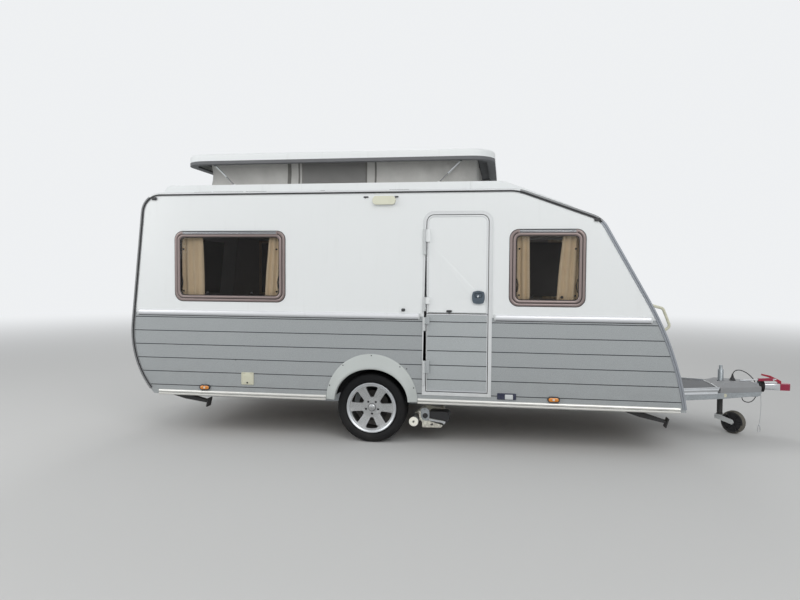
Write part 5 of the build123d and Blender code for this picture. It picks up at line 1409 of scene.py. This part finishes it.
def curtain_sheet(name, side, start, end, bottom, top, gather):
    """One curtain of soft folds, drawn in at the top of its inner edge; with its flat width."""
    columns, rows = 60, 26
    rings = []
    for row in range(rows + 1):
        share = row / rows
        pull = gather * (1 - share) ** 1.6
        swell = 0.4 + 0.6 * min(1.0, share * 3)
        ring = []
        for column in range(columns + 1):
            across = column / columns
            x = start + (end - start) * (across * (1 - pull))
            depth = 0.0088 * sin(2 * pi * 4.5 * across + 0.6 * sin(3 * share)) * swell
            depth += 0.0018 * noise.noise(Vector((across * 5, share * 3, side + start)))
            ring.append(Vector((AXLE + x, side * (WALL - 0.028 - 0.0125 + depth), top - (top - bottom) * share)))
        rings.append(ring)
    form = Form(name)
    form.loft(rings, "curtain", closed=False, caps=(False, False))
    middle = rings[rows // 2]
    obj = link(name, form.mesh(70))
    thicken(obj)
    return obj, sum((middle[k + 1] - middle[k]).length for k in range(columns))


# Widths of the drawn-back curtains at each window: rear, front
CURTAIN_WIDTHS = ((0.245, 0.190), (0.160, 0.212))


def curtains():
    """A pair of curtains at every side window, on a slim rail."""
    for side_name, side in SIDES:
        for number, (rear, front, bottom, top) in enumerate(SIDE_WINDOWS):
            rail = Form(f"curtain_rail_{side_name}_{number}")
            y, z = side * (WALL - 0.0405), top + 0.027
            rail.tube([(AXLE + rear - 0.038, y, z), (AXLE + front + 0.038, y, z)], 0.0055, "frame_white", 12)
            for x in (rear - 0.030, front + 0.030):
                rail.tube([(AXLE + x, side * (WALL - 0.0275), z), (AXLE + x, y, z)], 0.005, "frame_white", 10)
            rail_piece = rail.piece("curtain")
            rear_wide, front_wide = CURTAIN_WIDTHS[number]
            for end, start, stop, gather in (
                ("rear", rear - 0.028, rear + rear_wide, 0.06), ("front", front + 0.028, front - front_wide, 0.22),
            ):
                name = f"curtain_{side_name}_{number}_{end}"
                sheet, width = curtain_sheet(name, side, start, stop, bottom - 0.018, top + 0.019, gather)
                first = name == "curtain_right_0_rear"
                settle(sheet, "curtain", ("curtains",) if first else ())


def blinds():
    """Pleated blinds drawn down inside the left-hand windows and the rear one: dark sheets standing for the shade
    inside.
    """
    creases = 44

    def at_wall(along, up, out):
        return Vector((AXLE + along, WALL - 0.0445 + out, up))

    def at_tail(across, up, out):
        return on_tail(across, up, out - 0.046)
    hung = [
        (at_wall, rear + 0.010, front - 0.010, bottom + 0.010, top - 0.010)
        for rear, front, bottom, top in SIDE_WINDOWS
    ]
    for number, (place, start, end, bottom, top) in enumerate(hung + [(at_tail, -0.600, 0.600, -0.340, 0.212)]):
        form = Form(f"pleated_blind_{number}")
        rings = []
        for across in (start, end):
            ring = [
                place(across, bottom + (top - bottom) * k / creases, -0.0045 if k % 2 else 0.0)
                for k in range(creases + 1)
            ]
            rings.append(ring + [place(across, top, -0.0065), place(across, bottom, -0.0065)])
        form.loft(rings, "seam")
        form.piece("curtain")


# The farthest that a cushion's skin moves when it swells
CUSHION_CAP = 0.014
SWELL_STEPS = 20


def cushion_block(name, low, high):
    """A cushion's stuffing before it swells: a block with round upright edges."""
    low, high = Vector(low), Vector(high)
    size = high - low
    middle = (low + high) / 2
    thin = min(range(3), key=lambda axis: size[axis])
    wide = [axis for axis in range(3) if axis != thin]
    shape = rounded_rect(size[wide[0]], size[wide[1]], 0.030, 5)
    rings = []
    for depth, inset in ((0.0, 0.010), (0.008, 0.0), (size[thin] - 0.008, 0.0), (size[thin], 0.010)):
        ring = []
        for flat in shape:
            spot = low.copy()
            spot[thin] = low[thin] + depth
            for axis, along in zip(wide, flat):
                spot[axis] = middle[axis] + along * (1 - 2 * inset / size[axis])
            ring.append(spot)
        rings.append(ring)
    form = Form(name)
    form.loft(rings, "cushion")
    return link(name, form.mesh(60))


def cushions():
    """Seat, back and bed cushions, swelled by cloth simulation."""
    # Name, lowest corner, highest corner; each stands clear of its neighbours by the room it swells into
    plans = (
        ("seat_left", (-1.722, 0.398, 0.767), (-0.456, 0.862, 0.862)),
        ("seat_right", (-1.722, -0.862, 0.767), (-0.456, -0.398, 0.862)),
        ("seat_rear", (-1.722, -0.374, 0.767), (-1.255, 0.374, 0.862)),
        ("back_left", (-1.722, 0.898, 0.882), (-0.456, 0.978, 1.106)),
        ("back_right", (-1.722, -0.978, 0.882), (-0.456, -0.898, 1.106)),
        ("back_rear", (-1.850, -0.866, 0.882), (-1.750, 0.866, 1.106)),
        ("bed_left", (1.176, 0.345, 0.767), (2.200, 0.976, 0.862)),
        ("bed_middle", (1.176, -0.318, 0.767), (2.200, 0.318, 0.862)),
        ("bed_right", (1.176, -0.976, 0.767), (2.200, -0.345, 0.862)),
    )
    blocks = []
    for name, low, high in plans:
        block = cushion_block(f"cushion_{name}", (AXLE + low[0], *low[1:]), (AXLE + high[0], *high[1:]))
        remesh = block.modifiers.new("remesh", "REMESH")
        remesh.mode = "VOXEL"
        remesh.voxel_size = 0.013
        data = evaluated_mesh(block)
        block.modifiers.clear()
        block.data = data
        cloth = block.modifiers.new("swell", "CLOTH")
        cloth.settings.use_pressure = True
        cloth.settings.uniform_pressure_force = 4.0
        cloth.settings.effector_weights.gravity = 0.0
        cloth.settings.quality = 4
        cloth.point_cache.frame_end = SWELL_STEPS
        blocks.append(block)
    for step in range(1, SWELL_STEPS + 1):
        bpy.context.scene.frame_set(step)
    for number, block in enumerate(blocks):
        rest = [vertex.co.copy() for vertex in block.data.vertices]
        data = evaluated_mesh(block)
        for vertex, start in zip(data.vertices, rest):
            move = vertex.co - start
            if move.length > CUSHION_CAP:
                vertex.co = start + move.normalized() * CUSHION_CAP
            wrinkle = noise.noise(vertex.co * 9.0) * 0.0022 + noise.noise(vertex.co * 24.0) * 0.0008
            vertex.co += vertex.normal * wrinkle
        block.modifiers.clear()
        block.data = data
        data.materials.clear()
        data.materials.append(FINISHES["cushion"])
        data.shade_smooth()
        settle(block, "cushion", ("seat_cushions",) if number == 0 else ())
    bpy.context.scene.frame_set(1)


# ---------------------------------------------------------------- wheels
def tyre(side_name, side):
    """A road tyre: sidewall bands and beads, with tread blocks set between grooves."""
    centre = Vector((AXLE, side * WHEEL_Y, TYRE_RADIUS))
    body = f"wheel_{side_name}"
    # Half of its section: out from the middle, radius
    right = [
        (0.0795, 0.1910), (0.0800, 0.2080), (0.0825, 0.2120), (0.0850, 0.2135), (0.0895, 0.2200), (0.0930, 0.2290),
        (0.0960, 0.2400), (0.0972, 0.2470), (0.0970, 0.2500), (0.0960, 0.2512), (0.0965, 0.2530), (0.0960, 0.2600),
        (0.0942, 0.2680), (0.0915, 0.2745), (0.0890, 0.2785), (0.0840, 0.2825), (0.0760, 0.2848), (0.0700, 0.2855),
        (0.0700, 0.2815), (0.0500, 0.2820), (0.0, 0.2822),
    ]
    section = right + [(-along, radius) for along, radius in reversed(right[:-1])]
    form = Form(f"tyre_{side_name}_cover")
    form.lathe(section + section[:1], centre, (0, 1, 0), "tyre", 112)
    form.piece("tyre", (f"tyre_{side_name}",), body, 50)
    block = Form(f"tyre_{side_name}_tread")
    count = 64
    pitch = 2 * pi * TYRE_RADIUS / count
    # Tread blocks: middle across, width, slant
    blocks = (
        (-0.0555, 0.024, -0.006), (-0.0275, 0.021, 0.005), (0.0, 0.019, 0.006), (0.0275, 0.021, 0.005),
        (0.0555, 0.024, -0.006),
    )
    for across, width, slant in blocks:
        rings = []
        for radius, shrink in ((0.2800, 0.0), (0.2868, 0.0), (TYRE_RADIUS - 0.0002, 0.0009)):
            half_wide, half_long = width / 2 - shrink, pitch * 0.40 - shrink
            rings.append([
                centre + Vector((p * half_long + slant * q, across + half_wide * q, radius))
                for p, q in ((1, -1), (1, 1), (-1, 1), (-1, -1))
            ])
        block.loft(rings, "tyre")
    ringed(block, count, centre, "tyre", body, "tyre")


def wheel_fittings(side_name, side):
    """Wheel bolts, plain centre cap, rolled rim lip and valve."""
    centre = Vector((AXLE, side * WHEEL_Y, TYRE_RADIUS))
    out = (0, side, 0)
    body = f"wheel_{side_name}"
    bolt = Form(f"wheel_bolts_{side_name}")
    head = [(0.044, 0.0070), (0.053, 0.0070), (0.0550, 0.0056), (0.0550, 0.0032), (0.052, 0.0030), (0.052, 0.0001)]
    bolt.lathe(head, centre + Vector((0, 0, 0.054)), out, "dusty_dark", 6)
    ringed(bolt, 5, centre, "dusty_dark", body, "alloy")
    cap = Form(f"wheel_cap_{side_name}")
    dome = [
        (0.0600, 0.0305), (0.0640, 0.0303), (0.0668, 0.0285), (0.0675, 0.0255), (0.0655, 0.0240), (0.0662, 0.0225),
        (0.0690, 0.0150), (0.0700, 0.0001),
    ]
    cap.lathe(dome, centre, out, "alloy", 40)
    # The groove round the cap in the darker alloy: painted shade
    groove = [(0.0600, 0.0350), (0.0626, 0.0350), (0.0626, 0.0300), (0.0600, 0.0300)]
    cap.lathe(groove + groove[:1], centre, out, "spoke_side", 40)
    lip = [
        (0.0800, 0.1840), (0.0888, 0.1842), (0.0892, 0.1880), (0.0905, 0.1930), (0.0945, 0.1990), (0.0958, 0.2030),
        (0.0945, 0.2068), (0.0900, 0.2088), (0.0800, 0.2088),
    ]
    cap.lathe(lip + lip[:1], centre, out, "bright", 96)
    turn = radians(18)
    foot = centre + Vector((0.0, side * 0.066, 0.0)) + Vector((sin(turn), 0, -cos(turn))) * 0.168
    valve = [foot, foot + Vector((0, side * 0.012, 0.006)), foot + Vector((0, side * 0.024, 0.012))]
    cap.tube(valve, (0.0045, 0.0040, 0.0034), "rubber", 10)
    cap.piece("alloy", (), body)


camera()
cords()
edge_trims()
side_rails()
side_windows()
end_window("front_window", on_nose, 1.480, 0.600, 0.046, 0.0)
end_window("rear_window", on_tail, 1.240, 0.560, 0.026, -0.064)
for part in (
    wheel_arches, door_details, lamps, service_covers, skirt, roof_fittings, nose_strip, drawbar_fittings,
    mover_details, curtains, blinds, cushions,
):
    part()
for side_name, side in SIDES:
    tyre(side_name, side)
    wheel_fittings(side_name, side)


# ---------------------------------------------------------------- softened CAD pieces
# Back end of the coupling's red head, the depth in a rim behind which its faces get painted shade, and the top of
# the painted shade along the lid's lower edge
TOW_HEAD_X = 3.4865
RIM_SHADE_DEPTH = 0.018
LID_SHADE_TOP = 2.3545
# Middle of the jockey wheel and the direction of its axle
JOCKEY_CENTRE = Vector((3.0919, -0.0771, 0.100))
JOCKEY_AXLE = Vector((0.643, 0.766, 0.0))


def from_wheel_centre(spot):
    return hypot(spot.x, spot.z - TYRE_RADIUS)


def from_jockey_axle(spot):
    away = spot - JOCKEY_CENTRE
    return (away - JOCKEY_AXLE * away.dot(JOCKEY_AXLE)).length


# The spokes' sides, which get the darker alloy as painted shade
def spoke_side(spot, normal):
    out = abs(spot.y) - WHEEL_Y
    return abs(normal.y) < 0.35 and 0.026 < out < 0.0755 and 0.075 < from_wheel_centre(spot) < 0.1818


# Tests of a face's centre, measured from the axle, and its normal, with the finish where they hold
RIM_PARTS = (
    (spoke_side, "spoke_side"),
    # The hub face round the cap, painted black as shade in its recess
    (lambda spot, normal: 0.045 < abs(spot.y) - WHEEL_Y < 0.0612 and from_wheel_centre(spot) < 0.070, "black"),
    # Faces deep in the rim get painted shade
    (lambda spot, normal: abs(spot.y) < WHEEL_Y + RIM_SHADE_DEPTH, "drum"),
)
MOVER_PARTS = (
    # Rollers and their ends, the ends in a lighter cream as painted light, motors, outer plates, links
    (lambda spot, normal: spot.x < 0.392 and spot.z < 0.224 and 0.7755 < abs(spot.y) <= 0.9525, "grey_gasket"),
    (lambda spot, normal: spot.x < 0.392 and spot.z < 0.224 and abs(spot.y) > 0.9525, "roller_cream"),
    (lambda spot, normal: 0.462 < spot.x < 0.642 and spot.z > 0.172 and 0.7755 < abs(spot.y) < 0.8962, "black"),
    (lambda spot, normal: 0.8955 < abs(spot.y) < 0.9045 and spot.x < 0.476 and spot.z > 0.196, "galvanised"),
    (lambda spot, normal: abs(spot.y) > 0.9122 and spot.x > 0.400, "bright"),
)
LEVER_PARTS = (
    # Grip of the handbrake, spare lever
    (lambda spot, normal: 3.2995 < spot.x < 3.4205 and spot.y < -0.0265, "crimson"),
    (lambda spot, normal: abs(spot.y) < 0.0095, "red"),
)
JOCKEY_WHEEL_PARTS = (
    (lambda spot, normal: from_jockey_axle(spot) > 0.079, "wheel_rubber"),
    (lambda spot, normal: from_jockey_axle(spot) < 0.019, "steel"),
)
LID_PARTS = (
    # Painted shade: on the underside, and on the lower edge of the side
    (lambda spot, normal: normal.z < -0.4 and spot.z < 2.395, "lid_lining"),
    (lambda spot, normal: spot.z < LID_SHADE_TOP and abs(normal.z) < 0.7, "lid_lining"),
)
KNUCKLE = (lambda spot, normal: abs(spot.x - 0.440) < 0.0125 and abs(spot.y) > 1.0325, "hinge_cover")
LOCK_FACE = (lambda spot, normal: spot.x > 0.80 and 1.10 < spot.z < 1.30 and abs(spot.y) > 1.0272, "lock_slate")
TOW_HEAD = (lambda spot, normal: spot.x > TOW_HEAD_X, "crimson")
DARK_TUBE = (lambda spot, normal: spot.z < 0.3595, "dusty_dark")
INSIDE_WALL = (lambda spot, normal: abs(spot.y) < WALL - 0.0272, "inner_wall")
# Node: width of its rounded edges; then its finish where that isn't its slot's, its parts and its cuts
SOFTENED = {
    "coupling_head": (0.004, "bright", (TOW_HEAD,), ((0, AXLE + TOW_HEAD_X),)),
    "overrun_housing": (0.003,),
    "jockey_tube": (0.0015, "galvanised", (DARK_TUBE,), ((2, 0.360),)),
    "jockey_fork": (0.0015, "hinge_cover"),
    "mover": (0.002, "cream_paint", MOVER_PARTS),
    "chassis_rail_left": (0.003,),
    "chassis_rail_right": (0.003,),
    "cross_members": (0.002, "dusty_dark"),
    "axle_beam": (0.003, "dusty_dark"),
    # The steadies are galvanised; their dark finish is painted shade under the body
    "steady_front_left": (0.0025, "dusty_dark"),
    "steady_front_right": (0.0025, "dusty_dark"),
    "steady_rear_left": (0.0025, "dusty_dark"),
    "steady_rear_right": (0.0025, "dusty_dark"),
    "door_frame": (0.002, "frame_white", (KNUCKLE,)),
    "door_upper": (0.0015, "white_sheet", (KNUCKLE, LOCK_FACE)),
    "door_lower": (0.0015, "door_grey", (KNUCKLE,)),
    "furniture": (0.004,),
    "roof_shell": (0.004,),
    "dinette_table": (0.004,),
    "rim_right": (0.0035, "alloy", RIM_PARTS, ((1, -WHEEL_Y - RIM_SHADE_DEPTH),)),
    "rim_left": (0.0035, "alloy", RIM_PARTS, ((1, WHEEL_Y + RIM_SHADE_DEPTH),)),
    "hand_levers": (0.002, "bright", LEVER_PARTS),
    "jockey_leg": (0.001, "dusty_dark"),
    "jockey_wheel": (0.002, "black", JOCKEY_WHEEL_PARTS),
    "roof_lid": (0.003, "white_plastic", LID_PARTS, ((2, LID_SHADE_TOP),)),
    "wall_upper_right": (0.0006, "white_sheet", (INSIDE_WALL,)),
    "wall_upper_left": (0.0006, "white_sheet", (INSIDE_WALL,)),
    "drawbar_cover": (0.003,),
    "drawbar_deck": (0.003,),
    "grab_handles": (0.001,),
}
for node_name, (width, *dressing) in SOFTENED.items():
    soften(node_name, width, 2, *dressing)


# ---------------------------------------------------------------- stage
def seen_ray(nodes):
    """1 where the camera, a reflection or glass looks at a surface, and 0 where light does."""
    path = nodes.add("ShaderNodeLightPath")
    seen = nodes.math("MAXIMUM", path.outputs["Is Camera Ray"], path.outputs["Is Glossy Ray"])
    return nodes.math("MAXIMUM", seen, path.outputs["Is Transmission Ray"])


def stage():
    """Plain pale floor that runs into the backdrop colour, under soft light."""
    backdrop = (0.86, 0.875, 0.89, 1.0)
    fade_start, fade_end = 5.5, 19.0
    bpy.ops.mesh.primitive_plane_add(size=160.0, location=(0.0, 0.0, 0.0))
    floor = bpy.context.object
    floor.name = "studio_floor"
    material = bpy.data.materials.new("studio_floor")
    material.use_nodes = True
    nodes = Nodes(material.node_tree)
    principled = material.node_tree.nodes["Principled BSDF"]
    principled.inputs["Base Color"].default_value = (0.60, 0.60, 0.59, 1.0)
    principled.inputs["Roughness"].default_value = 0.85
    distance = nodes.add("ShaderNodeVectorMath", {0: nodes.coords()}, operation="LENGTH").outputs["Value"]
    fade = nodes.math("MULTIPLY", nodes.ramp(distance, fade_start, fade_end), seen_ray(nodes))
    glow = nodes.add("ShaderNodeEmission", {"Color": backdrop, "Strength": 1.0})
    both = nodes.add("ShaderNodeMixShader", {0: fade, 1: principled.outputs[0], 2: glow.outputs[0]})
    nodes.feed(material.node_tree.nodes["Material Output"].inputs["Surface"], both.outputs[0])
    floor.data.materials.append(material)
    world = bpy.data.worlds.new("studio")
    bpy.context.scene.world = world
    world.use_nodes = True
    nodes = Nodes(world.node_tree)
    background = world.node_tree.nodes["Background"]
    light = nodes.mix(seen_ray(nodes), (0.50, 0.51, 0.52, 1.0), backdrop)
    nodes.feed(background.inputs["Color"], light)
    # Lamps: name, place, aims at, power, size
    lights = (
        ("key", (3.5, -9.0, 6.5), (0.0, 0.0, 1.0), 430.0, 7.5),
        ("fill", (-7.0, -5.0, 4.0), (0.0, 0.0, 1.0), 170.0, 5.0),
        ("back", (-2.0, 7.0, 7.5), (0.0, 0.0, 1.4), 190.0, 3.5),
    )
    for name, place, aim, power, size in lights:
        data = bpy.data.lights.new(name, "AREA")
        data.energy = power
        data.size = size
        lamp = link(name, data)
        lamp.location = place
        lamp.rotation_euler = (Vector(aim) - Vector(place)).to_track_quat("-Z", "Y").to_euler()
    bpy.context.scene.view_settings.view_transform = "Standard"


stage()
